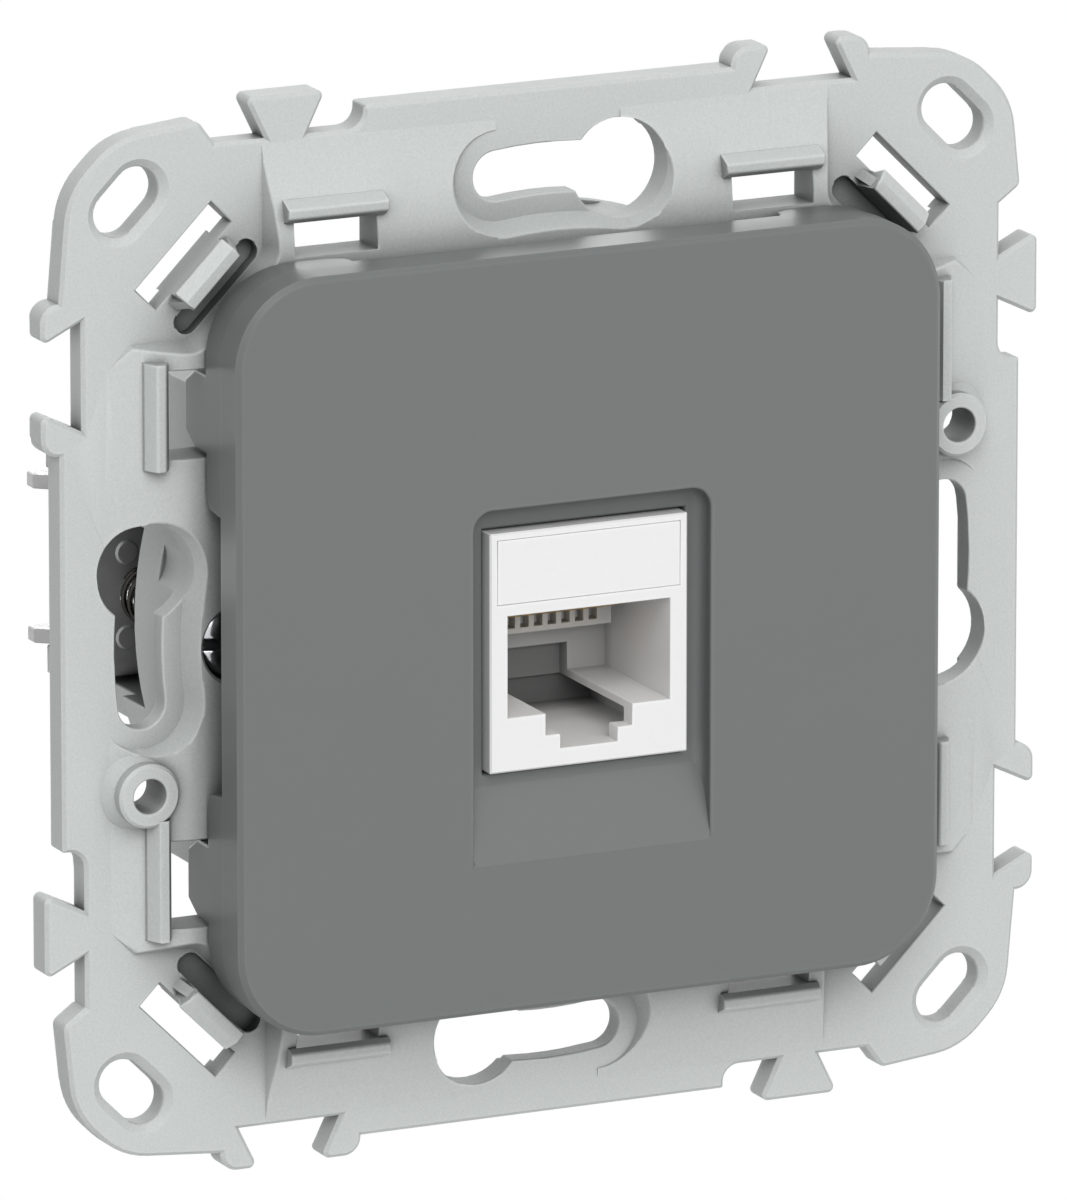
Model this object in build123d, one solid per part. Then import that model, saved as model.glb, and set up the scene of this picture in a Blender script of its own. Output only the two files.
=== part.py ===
from build123d import *
import math
import os

# Flush telephone and data socket, in millimetres.
# Each piece is drawn lying on its back: x runs across the wall, y runs up the wall,
# and z comes out of the wall, with z = 0 on the wall. stand() turns it upright at the end.

# Support frame, flat rim
PLATE_T = 2.1
HALF_SIDE = 35.5
EDGE_BEVEL = 0.25
CORNER_RUN = 4.07
CORNER_DROP = 0.63
CORNER_ROUND = 5.4

# Dovetails that join one frame to the next at the ganging pitch
GANG_PITCH = 71.0
TAIL_RISE = 1.32
TAIL_PLACE = 19.05
TAIL_HALF = 2.95
TAIL_SLOPE = 26.0
TAIL_GAP = 0.64
TAIL_ROUND = 0.42
NOTCH_DROP = 1.58
NOTCH_END = 24.2
NOTCH_INNER = 13.35
NOTCH_ROUND = 1.2
HOOK_INNER = 13.75
HOOK_OUTER = 24.1
HOOK_ROUND = 1.25

# Box screws: arc slots on the 60 mm circle, each with a round entry for the screw head
SCREW_CIRCLE = 30.0
SLOT_HALF = 1.7
SLOT_START = -7.1
SLOT_END = 10.1
ENTRY_R = 3.4
SEAT_HALF = 3.1
SEAT_LEFT = 3.8
SEAT_RIGHT = 5.4
SEAT_LEAN = 28.0

# Corner slots for surface fixing
FIX_PLACE = 30.5
FIX_WIDTH = 3.2
FIX_RUN = 2.0
FIX_SINK = 0.5
FIX_LIP = 0.62

# Raised middle of the frame: a long swell up to a flat that carries the cover
SWELL_H = 1.5
SWELL_TOP = 26.0
SWELL_START_TALL = 33.6
SWELL_START_WIDE = 32.1
ZONE_HALF = 20.95
ZONE_BEVEL = 1.9
ZONE_DIAGONAL = 47.2
ZONE_LEAN = 24.0
BACK_RELIEF = 0.5
RELIEF_OUTER = 31.9
RELIEF_INNER = 22.5

# Cover windows, their ribs, and the two screw bosses
WINDOW_PLACE = 16.1
WINDOW_LONG = 6.0
WINDOW_OUTER = 28.35
WINDOW_INNER_TALL = 26.0
WINDOW_INNER_WIDE = 24.3
RIB_LONG = 7.35
RIB_H = 1.95
RIB_TOP_IN = 28.95
RIB_TOP_OUT = 29.35
RIB_FOOT_OUT = 29.85
BOSS_X = 30.0
BOSS_Y = 9.6
BOSS_H = 1.9
BOSS_TOP_R = 2.2
BOSS_FOOT_R = 2.85
BOSS_BORE_R = 1.18

# Diagonal catches in the corners
CATCH_SLOT_IN = 36.5
CATCH_SLOT_OUT = 38.57
CATCH_SLOT_LONG = 7.7
CATCH_LONG = 4.85
CATCH_FOOT_LONG = 6.0
CATCH_H = 2.1
CATCH_LIP_H = 1.5
CATCH_IN = 35.35
CATCH_RIDGE = 36.15
CATCH_LIP = 37.0
TRENCH_PLACE = 34.25
TRENCH_WIDE = 1.7
TRENCH_LONG = 7.8
TRENCH_DEEP = 1.0

# Collar and claw guides behind the wall
COLLAR_R = 26.9
COLLAR_WALL = 1.0
COLLAR_DEEP = 9.4
COLLAR_LOW = 5.6
GUIDE_GAP = 0.3
GUIDE_WALL = 1.9
GUIDE_OUT = 25.2
GUIDE_IN = 20.3
GUIDE_DEEP = 24.2
SOCKET_WALL = 1.2

# Claw, its screw and its spring, one set on each side
CLAW_SCREW_X = 23.2
HEAD_R = 2.4
HEAD_H = 1.7
HEAD_SUNK = 0.75
HEAD_GAP = 0.3
HEAD_DOME = 0.3
HEAD_BEVEL = 0.8
SHANK_R = 1.5
SHANK_LONG = 26.5
TILT_DEG = 20.0
RUN_CLEAR = 0.06
SEAT_BOSS_R = 3.7
SEAT_BOSS_DEEP = 1.6
DRIVE_SLOT = 0.8
DRIVE_DEEP = 1.1
CLAW_SHEET = 1.0
CLAW_HALF = 5.9
CLAW_BEND = 1.3
CLAW_BASE_Z = -12.05
CLAW_BASE_OUT = 27.0
CLAW_BASE_IN = 20.9
CLAW_NECK_OUT = 24.3
CLAW_LEG_IN = 21.9
CLAW_TIP_OUT = 26.3
CLAW_TIP_Z = -24.9
CLAW_TOOTH = 1.2
DIMPLE_R = 0.85
DIMPLE_Y = 2.95
DIMPLE_X = 24.55
DIMPLE_H = 0.15
SPRING_R = 1.9
SPRING_WIRE = 0.42
SPRING_TURNS = 9
SPRING_FACETS = 12

# Cover
COVER_HALF = 25.95
COVER_ROUND = 6.0
COVER_FRONT = 9.35
COVER_EDGE = 0.35
COVER_WALL = 1.5
COVER_TOP = 1.6
SKIRT_STEP = 0.1
SKIRT_SPLIT = 6.55
SKIRT_GAP = 0.3
SIDE_CUT_HALF = 9.8
TOP_CUT_HALF = 16.0
TOP_CUT_Z = 5.4
CUT_ROUND = 1.2
LEG_WIDE = 5.4
LEG_THICK = 1.2
LEG_END = 0.6
LEG_BEVEL = 1.0

# Recess of the cover around the jack
RECESS_DEEP = 1.47
RECESS_HALF = 8.75
RECESS_UP = 8.75
RECESS_CREASE = -10.5
RECESS_DOWN = -15.6
RECESS_ROUND = 1.4
RECESS_SOFT = 0.8
RECESS_FLOOR_T = 1.5
JACK_GAP = 0.16

# Jack: white insert with the plug opening
JACK_W = 14.6
JACK_TALL = 16.5
JACK_MID = -1.25
JACK_PROUD = 0.87
JACK_BACK = -6.0
PORT_W = 12.0
PORT_TOP = 1.25
PORT_FLOOR = -5.75
PORT_DEEP = 10.2
FRONT_WALL = 1.4
KEY_W = 6.4
KEY_DROP = 1.5
TAB_W = 4.24
TAB_DROP = 1.0
LEDGE_T = 0.55
CHAMBER_W = 11.2
CHAMBER_DEEP = 11.8
NICHE_TOP = -3.87
NICHE_DEEP = 1.2
LABEL_W = 13.3
LABEL_TALL = 4.25
LABEL_MID = 4.275
LABEL_T = 0.8
LABEL_GAP = 0.1

# Contacts and their comb
CONTACTS = 8
CONTACT_PITCH = 1.016
CONTACT_W = 0.45
CONTACT_T = 0.3
COMB_W = 9.8
COMB_DEEP = 6.9
COMB_T = 1.0
COMB_BOTTOM = -1.94
COMB_BAR = 0.39
COMB_SLOT = 0.6
SHELF_W = 10.2
SHELF_T = 0.9
SHELF_FRONT = 6.6
SHELF_GAP = 0.05
BEND_OUT = 0.35
BEND_CUT = 0.2
ARM_SPLIT_Y = 1.7
ARM_SPLIT_GAP = 0.04
ARM_START_Y = 0.9
ARM_END_Y = -0.62
ARM_HOOK = 0.9

# Board, terminal block and wire cap at the back of the jack
BOARD_W = 13.4
BOARD_TALL = 15.6
BOARD_T = 1.2
BLOCK_DEEP = 8.5
BLOCK_W = 14.0
BLOCK_TALL = 15.9
BLOCK_ROUND = 0.8
TERMINAL_PITCH = 3.2
TERMINAL_ROW = 4.7
TERMINAL_W = 2.4
TERMINAL_T = 0.5
TERMINAL_SLIT = 0.4
TERMINAL_DEEP = 5.0
WIRE_SLOT = 1.0
WIRE_DEEP = 4.0
CAP_DEEP = 5.5
CAP_WALL = 1.1
CAP_CLEAR = 0.1
CABLE_R = 3.0

# Holder that clips the jack into the frame
HOLDER_WALL = 1.3
HOLDER_CLEAR = 0.15
HOLDER_FRONT = 5.9
HOLDER_BACK = -4.2
FLANGE_REACH = 4.0
FLANGE_T = 1.3
FRAME_CLEAR = 0.7
CLIP_W = 5.0
CLIP_REACH = 1.6
CLIP_LONG = 2.4

# Levels worked out from the sizes above
TAIL_REACH = HALF_SIDE + TAIL_RISE
NOTCH_FLOOR = HALF_SIDE - NOTCH_DROP
FLOOR_Z = PLATE_T + SWELL_H
HEAD_TOP = FLOOR_Z - HEAD_SUNK
HEAD_SEAT = HEAD_TOP - HEAD_H
SKIRT_BOTTOM = FLOOR_Z + SKIRT_GAP
RECESS_Z = COVER_FRONT - RECESS_DEEP
JACK_FRONT = RECESS_Z + JACK_PROUD
GUIDE_Y = CLAW_HALF + GUIDE_GAP


def rounded_face(corners):
    """Flat face through corners given as (x, y, radius)."""
    count = len(corners)
    arcs = []
    for index in range(count):
        x, y, radius = corners[index]
        here = Vector(x, y)
        before = Vector(*corners[index - 1][:2])
        after = Vector(*corners[(index + 1) % count][:2])
        to_before = (before - here).normalized()
        to_after = (after - here).normalized()
        if radius <= 0:
            arcs.append((here, None, here))
            continue
        half = math.radians(to_before.get_angle(to_after)) / 2
        reach = radius / math.tan(half)
        inward = (to_before + to_after).normalized()
        middle = here + inward * (radius / math.sin(half) - radius)
        arcs.append((here + to_before * reach, middle, here + to_after * reach))
    edges = []
    for index in range(count):
        start, middle, end = arcs[index]
        if middle is not None:
            edges.append(ThreePointArc(start, middle, end))
        edges.append(Line(end, arcs[(index + 1) % count][0]))
    return Face(Wire(edges))


def rise(face, low, high, lean=0.0):
    """Solid from a flat face between two levels, its walls leaning in by an angle."""
    return Pos(0, 0, low) * extrude(face, amount=high - low, dir=(0, 0, 1), taper=lean)


def block(x0, x1, y0, y1, z0, z1):
    """Box between two corners."""
    middle = ((x0 + x1) / 2, (y0 + y1) / 2, (z0 + z1) / 2)
    return Pos(*middle) * Box(abs(x1 - x0), abs(y1 - y0), abs(z1 - z0))


def on_circle(radius, degrees):
    """Point on a circle, the angle counted clockwise from straight up."""
    turn = math.radians(degrees)
    return Vector(radius * math.sin(turn), radius * math.cos(turn))


def arc_slot(radius, half, start, end):
    """Flat slot of constant width along an arc, with round ends."""
    outer, inner = radius + half, radius - half
    middle = (start + end) / 2
    start_bulge = on_circle(radius, start - math.degrees(half / radius))
    end_bulge = on_circle(radius, end + math.degrees(half / radius))
    edges = [
        ThreePointArc(on_circle(outer, start), on_circle(outer, middle), on_circle(outer, end)),
        ThreePointArc(on_circle(outer, end), end_bulge, on_circle(inner, end)),
        ThreePointArc(on_circle(inner, end), on_circle(inner, middle), on_circle(inner, start)),
        ThreePointArc(on_circle(inner, start), start_bulge, on_circle(outer, start)),
    ]
    return Face(Wire(edges))


def quarter_turns(shape, turns=(0, 1, 2, 3)):
    """The shape turned clockwise by each number of quarter turns."""
    return [Rot(0, 0, -90 * turn) * shape for turn in turns]


def half_turn(shape):
    """The shape and its copy turned by half a turn about the centre."""
    return [shape, Rot(0, 0, 180) * shape]


def stand(shape):
    """The piece as it sits on the wall: +Z up and the front facing -Y."""
    return Rot(90, 0, 0) * shape


def rim_face():
    """Outline of the frame: one side, with both its dovetails, used four times."""
    slope = math.tan(math.radians(TAIL_SLOPE))
    tail_root = TAIL_HALF - (TAIL_REACH - NOTCH_FLOOR) * slope
    mouth = TAIL_HALF - (2 * TAIL_REACH - GANG_PITCH) * slope + TAIL_GAP
    pocket = mouth + (TAIL_REACH - NOTCH_FLOOR) * slope
    corner = HALF_SIDE - CORNER_RUN
    shoulder = HALF_SIDE - CORNER_DROP
    side = [
        (-corner, shoulder, CORNER_ROUND),
        (-NOTCH_END - 1.15, HALF_SIDE, 0.6),
        (-NOTCH_END, NOTCH_FLOOR, 0),
        (-TAIL_PLACE - tail_root, NOTCH_FLOOR, 0),
        (-TAIL_PLACE - TAIL_HALF, TAIL_REACH, TAIL_ROUND),
        (-TAIL_PLACE + TAIL_HALF, TAIL_REACH, TAIL_ROUND),
        (-TAIL_PLACE + tail_root, NOTCH_FLOOR, 0),
        (-NOTCH_INNER, NOTCH_FLOOR, NOTCH_ROUND),
        (-NOTCH_INNER, HALF_SIDE, 0),
        (HOOK_INNER, HALF_SIDE, 0),
        (HOOK_INNER, TAIL_REACH, HOOK_ROUND),
        (TAIL_PLACE - mouth, TAIL_REACH, TAIL_ROUND),
        (TAIL_PLACE - pocket, NOTCH_FLOOR, 0),
        (TAIL_PLACE + pocket, NOTCH_FLOOR, 0),
        (TAIL_PLACE + mouth, TAIL_REACH, TAIL_ROUND),
        (HOOK_OUTER, TAIL_REACH, HOOK_ROUND),
        (HOOK_OUTER, HALF_SIDE, 0),
        (corner, shoulder, CORNER_ROUND),
    ]
    outline = []
    for turn in range(4):
        for u, v, radius in side:
            for _ in range(turn):
                u, v = v, -u
            outline.append((u, v, radius))
    return rounded_face(outline)


def swell(start):
    """Long swell across the frame: it rises softly from the rim to the flat middle."""
    run = start - SWELL_TOP
    slope = [
        (0, start, PLATE_T),
        (0, start - 0.10 * run, PLATE_T + 0.07 * SWELL_H),
        (0, start - 0.35 * run, PLATE_T + 0.37 * SWELL_H),
        (0, start - 0.55 * run, PLATE_T + 0.67 * SWELL_H),
        (0, start - 0.72 * run, PLATE_T + 0.85 * SWELL_H),
        (0, SWELL_TOP, FLOOR_Z),
    ]
    profile = [
        Spline(*[Vector(*point) for point in slope], tangents=((0, -1, 0.1), (0, -1, 0))),
        Line((0, SWELL_TOP, FLOOR_Z), (0, 0, FLOOR_Z)),
        Line((0, 0, FLOOR_Z), (0, 0, PLATE_T - 1)),
        Line((0, 0, PLATE_T - 1), (0, start, PLATE_T - 1)),
        Line((0, start, PLATE_T - 1), (0, start, PLATE_T)),
    ]
    side = extrude(Face(Wire(profile)), amount=HALF_SIDE, dir=(1, 0, 0), both=True)
    return side + Rot(0, 0, 180) * side


def zone_mask(reach, bevel):
    """Plan of one pair of opposite raised zones, with the centre joined on."""
    cut = ZONE_DIAGONAL - ZONE_HALF
    quarter = [
        (-ZONE_HALF, reach - bevel, 0),
        (-ZONE_HALF + bevel, reach, 0),
        (ZONE_HALF - bevel, reach, 0),
        (ZONE_HALF, reach - bevel, 0),
        (ZONE_HALF, cut, 1.2),
        (cut, ZONE_HALF, 0),
    ]
    if bevel == 0:
        quarter = [quarter[0], quarter[3], quarter[4], quarter[5]]
    other = [(-x, -y, radius) for x, y, radius in quarter]
    return rounded_face(quarter + other_side(quarter) + other + other_side(other))


def other_side(points):
    """The two corners of the centre that close one half of a zone plan."""
    x, y = points[-1][0], points[-1][1]
    return [(x, -y, 0), (y, -x, 1.2)]


def raised_zones():
    """The four raised zones as one solid with leaning side walls."""
    low, high = PLATE_T - 0.2, PLATE_T + SWELL_H + 1
    tall = rise(zone_mask(SWELL_START_TALL + 0.5, 0), low, high, ZONE_LEAN)
    wide = rise(zone_mask(SWELL_START_WIDE + 0.3, ZONE_BEVEL), low, high, ZONE_LEAN)
    tall_zone = swell(SWELL_START_TALL) & tall
    wide_zone = Rot(0, 0, 90) * (swell(SWELL_START_WIDE) & wide)
    return tall_zone + wide_zone


def keyhole():
    """Slot for a box screw with its round entry, through the frame."""
    slot = rise(arc_slot(SCREW_CIRCLE, SLOT_HALF, SLOT_START, SLOT_END), -1, PLATE_T + 3)
    entry = on_circle(SCREW_CIRCLE, SLOT_END)
    hole = Pos(entry.X, entry.Y, PLATE_T) * Cylinder(ENTRY_R, 2 * PLATE_T + 4)
    return slot + hole


def head_seat():
    """Flat seat for the box screw's head, let into the raised zone."""
    low, high = PLATE_T, PLATE_T + SWELL_H + 1
    around = rise(arc_slot(SCREW_CIRCLE, SEAT_HALF, SLOT_START, SLOT_END), low, high, -SEAT_LEAN)
    outside = block(-SEAT_LEFT, SEAT_RIGHT, SCREW_CIRCLE, HALF_SIDE, low, high)
    return around + outside


def fixing_slot():
    """Corner slot with a shallow sunk lip, for the top right corner."""
    hole = rise(SlotCenterToCenter(FIX_RUN, FIX_WIDTH).face(), -1, PLATE_T + 1)
    lip = rise(SlotCenterToCenter(FIX_RUN, FIX_WIDTH + 2 * FIX_LIP).face(), 0, FIX_SINK,
               math.degrees(math.atan(FIX_LIP / FIX_SINK)))
    sunk = Pos(0, 0, PLATE_T) * Rot(180, 0, 0) * lip
    return Pos(FIX_PLACE, FIX_PLACE, 0) * Rot(0, 0, -45) * (hole + sunk)


def corner_place(distance):
    """Place on the top right diagonal, with x along the corner and y outwards."""
    return Rot(0, 0, -45) * Pos(0, distance, 0)


def catch():
    """Leaning catch of one corner, standing beside its slot, with a foot at each end."""
    body = Wire([
        Line((0, CATCH_IN - 0.3, PLATE_T - 0.5), (0, CATCH_IN, PLATE_T + CATCH_H)),
        Line((0, CATCH_IN, PLATE_T + CATCH_H), (0, CATCH_RIDGE, PLATE_T + CATCH_H)),
        Line((0, CATCH_RIDGE, PLATE_T + CATCH_H), (0, CATCH_LIP, PLATE_T + CATCH_LIP_H)),
        Line((0, CATCH_LIP, PLATE_T + CATCH_LIP_H), (0, CATCH_SLOT_IN, PLATE_T + 0.5)),
        Line((0, CATCH_SLOT_IN, PLATE_T + 0.5), (0, CATCH_SLOT_IN, PLATE_T - 0.5)),
        Line((0, CATCH_SLOT_IN, PLATE_T - 0.5), (0, CATCH_IN - 0.3, PLATE_T - 0.5)),
    ])
    bar = extrude(Face(body), amount=CATCH_LONG / 2, dir=(1, 0, 0), both=True)
    low = CATCH_IN + 0.05
    foot_face = Face(Wire([
        Line((-CATCH_FOOT_LONG / 2, 0, PLATE_T - 0.4), (CATCH_FOOT_LONG / 2, 0, PLATE_T - 0.4)),
        Line((CATCH_FOOT_LONG / 2, 0, PLATE_T - 0.4), (CATCH_FOOT_LONG / 2, 0, PLATE_T)),
        Line((CATCH_FOOT_LONG / 2, 0, PLATE_T), (CATCH_LONG / 2, 0, PLATE_T + 0.75 * CATCH_H)),
        Line((CATCH_LONG / 2, 0, PLATE_T + 0.75 * CATCH_H),
             (-CATCH_LONG / 2, 0, PLATE_T + 0.75 * CATCH_H)),
        Line((-CATCH_LONG / 2, 0, PLATE_T + 0.75 * CATCH_H), (-CATCH_FOOT_LONG / 2, 0, PLATE_T)),
        Line((-CATCH_FOOT_LONG / 2, 0, PLATE_T), (-CATCH_FOOT_LONG / 2, 0, PLATE_T - 0.4)),
    ]))
    feet = Pos(0, low, 0) * extrude(foot_face, amount=0.75, dir=(0, 1, 0))
    return Rot(0, 0, -45) * (bar + feet)


def catch_slot():
    """Through slot outside the catch."""
    wide = CATCH_SLOT_OUT - CATCH_SLOT_IN
    plan = Rectangle(CATCH_SLOT_LONG, wide).face()
    return corner_place((CATCH_SLOT_OUT + CATCH_SLOT_IN) / 2) * rise(plan, -1, PLATE_T + 0.4)


def trench():
    """Blind groove inside the catch."""
    plan = SlotOverall(TRENCH_LONG, TRENCH_WIDE).face()
    return corner_place(TRENCH_PLACE) * rise(plan, PLATE_T - TRENCH_DEEP, PLATE_T + SWELL_H + 1)


def window_cut(inner):
    """Through window on the top side, right of the middle."""
    half = WINDOW_LONG / 2
    return block(WINDOW_PLACE - half, WINDOW_PLACE + half, inner, WINDOW_OUTER, -1, PLATE_T + 3)


def rib(inner_end, outer_end):
    """Rib along the outer edge of a window of the top side, between two places."""
    low = PLATE_T + 0.3
    high = PLATE_T + RIB_H
    profile = Wire([
        Line((0, WINDOW_OUTER, low), (0, WINDOW_OUTER, high - 0.45)),
        Line((0, WINDOW_OUTER, high - 0.45), (0, RIB_TOP_IN - 0.25, high)),
        Line((0, RIB_TOP_IN - 0.25, high), (0, RIB_TOP_OUT, high)),
        Line((0, RIB_TOP_OUT, high), (0, RIB_FOOT_OUT, high - 1.0)),
        Line((0, RIB_FOOT_OUT, high - 1.0), (0, RIB_FOOT_OUT, low)),
        Line((0, RIB_FOOT_OUT, low), (0, WINDOW_OUTER, low)),
    ])
    long = outer_end - inner_end
    return Pos(inner_end, 0, 0) * extrude(Face(profile), amount=long, dir=(1, 0, 0))


def boss():
    """Screw boss on the right side, with its flared foot."""
    foot_h = 0.9
    shape = Pos(0, 0, PLATE_T + foot_h / 2) * Cone(BOSS_FOOT_R, BOSS_TOP_R, foot_h)
    shape += Pos(0, 0, PLATE_T + BOSS_H / 2) * Cylinder(BOSS_TOP_R, BOSS_H)
    rim = shape.edges().group_by(Axis.Z)[-1]
    return Pos(BOSS_X, BOSS_Y, 0) * chamfer(rim, 0.2)


def claw_seat():
    """Thick seat behind the frame that holds the head of the right claw screw."""
    return Pos(CLAW_SCREW_X, 0, (PLATE_T - SEAT_BOSS_DEEP) / 2) * Cylinder(
        SEAT_BOSS_R, PLATE_T + SEAT_BOSS_DEEP)


def claw_seat_cut():
    """Sunk seat for the claw screw's head, with its lead-in and the hole for the shank."""
    well_r = HEAD_R + HEAD_GAP
    floor = HEAD_SEAT - RUN_CLEAR
    high = FLOOR_Z + 1
    well = Pos(0, 0, (floor + high) / 2) * Cylinder(well_r, high - floor)
    lead = Pos(0, 0, FLOOR_Z) * Cone(well_r - 0.1, well_r + 0.5, 0.6)
    shank = Cylinder(SHANK_R + RUN_CLEAR, 2 * high + 2 * SEAT_BOSS_DEEP)
    return Pos(CLAW_SCREW_X, 0, 0) * (well + lead + shank)


def claw_guides():
    """Channel behind the frame that flanks the right claw, open to the outside."""
    shape = block(GUIDE_IN - SOCKET_WALL, GUIDE_IN, -GUIDE_Y, GUIDE_Y, -GUIDE_DEEP, PLATE_T / 2)
    for y in (GUIDE_Y, -GUIDE_Y - GUIDE_WALL):
        shape += block(GUIDE_IN - SOCKET_WALL, GUIDE_OUT, y, y + GUIDE_WALL, -GUIDE_DEEP, PLATE_T / 2)
    return shape


def support_frame():
    """Moulded frame: rim with dovetails, raised zones, catches, collar and claw guides."""
    plate = rise(rim_face(), 0, PLATE_T)
    plate = chamfer(plate.edges().group_by(Axis.Z)[-1], EDGE_BEVEL)
    relief = block(-RELIEF_OUTER, RELIEF_OUTER, -RELIEF_OUTER, RELIEF_OUTER, -1, BACK_RELIEF)
    relief -= block(-RELIEF_INNER, RELIEF_INNER, -RELIEF_INNER, RELIEF_INNER, -1, BACK_RELIEF)
    for corner in quarter_turns(block(24, HALF_SIDE, 24, HALF_SIDE, -1, BACK_RELIEF)):
        relief -= corner
    frame = plate + raised_zones() - relief
    seats = quarter_turns(head_seat())
    frame = frame - seats
    half = RIB_LONG / 2
    short_ribs = [rib(WINDOW_PLACE - half, WINDOW_PLACE + half),
                  rib(-WINDOW_PLACE - half, -WINDOW_PLACE + half)]
    long_rib = rib(-WINDOW_PLACE - half, -BOSS_Y - BOSS_TOP_R + 0.4)
    for turned in half_turn(Rot(0, 0, -90) * long_rib):
        frame += turned
    for turned in half_turn(Rot(0, 0, -90) * short_ribs[0]):
        frame += turned
    for one in short_ribs:
        for turned in half_turn(one):
            frame += turned
    for turned in half_turn(boss()):
        frame += turned
    frame -= quarter_turns(catch_slot()) + quarter_turns(trench())
    for turned in quarter_turns(catch()):
        frame += turned
    collar = Pos(0, 0, (PLATE_T / 2 - COLLAR_DEEP) / 2) * (
        Cylinder(COLLAR_R, COLLAR_DEEP + PLATE_T / 2)
        - Cylinder(COLLAR_R - COLLAR_WALL, COLLAR_DEEP + PLATE_T))
    collar -= block(-HALF_SIDE, HALF_SIDE, -GUIDE_Y, GUIDE_Y, -COLLAR_DEEP - 1, -COLLAR_LOW)
    frame += collar
    for turned in half_turn(claw_guides()) + half_turn(claw_seat()):
        frame += turned
    cuts = quarter_turns(keyhole()) + quarter_turns(fixing_slot())
    cuts += quarter_turns(window_cut(WINDOW_INNER_TALL), (0, 2))
    cuts += quarter_turns(Pos(-2 * WINDOW_PLACE, 0, 0) * window_cut(WINDOW_INNER_TALL), (0, 2))
    cuts += quarter_turns(window_cut(WINDOW_INNER_WIDE), (1, 3))
    cuts += quarter_turns(Pos(-2 * WINDOW_PLACE, 0, 0) * window_cut(WINDOW_INNER_WIDE), (1, 3))
    cuts += half_turn(claw_seat_cut())
    cuts += half_turn(Pos(BOSS_X, BOSS_Y, PLATE_T) * Cylinder(BOSS_BORE_R, 3 * PLATE_T))
    frame -= cuts
    opening_w = JACK_W / 2 + HOLDER_CLEAR + HOLDER_WALL + FRAME_CLEAR
    opening_t = JACK_TALL / 2 + HOLDER_CLEAR + HOLDER_WALL + FRAME_CLEAR
    return frame - block(-opening_w, opening_w, JACK_MID - opening_t, JACK_MID + opening_t, -3, 5)


def skirt_notch(half, top):
    """Cut-out of the cover's skirt, seen from the side: wide, with soft ends."""
    low = SKIRT_BOTTOM - 1
    plan = rounded_face([
        (-half - CUT_ROUND, low, 0),
        (half + CUT_ROUND, low, 0),
        (half + CUT_ROUND, SKIRT_BOTTOM, 0),
        (half, SKIRT_BOTTOM + CUT_ROUND / 2, CUT_ROUND / 3),
        (half - CUT_ROUND / 4, top, CUT_ROUND / 2),
        (-half + CUT_ROUND / 4, top, CUT_ROUND / 2),
        (-half, SKIRT_BOTTOM + CUT_ROUND / 2, CUT_ROUND / 3),
        (-half - CUT_ROUND, SKIRT_BOTTOM, 0),
    ])
    upright = extrude(plan, amount=2 * COVER_HALF, dir=(0, 0, 1), both=True)
    return Rot(90, 0, 0) * upright


def recess_cut():
    """Space of the cover's recess: a soft-edged floor and a slope up to the front."""
    over = COVER_FRONT + 1
    slope = (COVER_FRONT - RECESS_Z) / (RECESS_CREASE - RECESS_DOWN)
    far = RECESS_DOWN - 1 / slope
    profile = Face(Wire([
        Line((0, RECESS_UP, over), (0, RECESS_UP, RECESS_Z)),
        Line((0, RECESS_UP, RECESS_Z), (0, RECESS_CREASE, RECESS_Z)),
        Line((0, RECESS_CREASE, RECESS_Z), (0, far, over)),
        Line((0, far, over), (0, RECESS_UP, over)),
    ]))
    space = extrude(profile, amount=RECESS_HALF, dir=(1, 0, 0), both=True)
    upright = space.edges().filter_by(Axis.Z).group_by(Axis.Y)[-1]
    space = fillet(upright, RECESS_ROUND)
    floor = space.faces().sort_by(Axis.Z)[0]
    around = [edge for edge in floor.edges() if edge.center().Y > RECESS_CREASE + 0.1]
    return fillet(around, RECESS_SOFT)


def cover_leg():
    """Clip leg of the cover on the right side, above the middle."""
    half = LEG_WIDE / 2
    plan = rounded_face([
        (WINDOW_PLACE - half + LEG_BEVEL, LEG_END, 0),
        (WINDOW_PLACE + half - LEG_BEVEL, LEG_END, 0),
        (WINDOW_PLACE + half, LEG_END + 1.6 * LEG_BEVEL, 0),
        (WINDOW_PLACE + half, SKIRT_BOTTOM + 1, 0),
        (WINDOW_PLACE - half, SKIRT_BOTTOM + 1, 0),
        (WINDOW_PLACE - half, LEG_END + 1.6 * LEG_BEVEL, 0),
    ])
    outer = COVER_HALF - SKIRT_STEP
    leg = extrude(plan, amount=LEG_THICK, dir=(0, 0, 1))
    return Pos(outer - LEG_THICK, 0, 0) * (Plane.YZ * leg)


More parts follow.
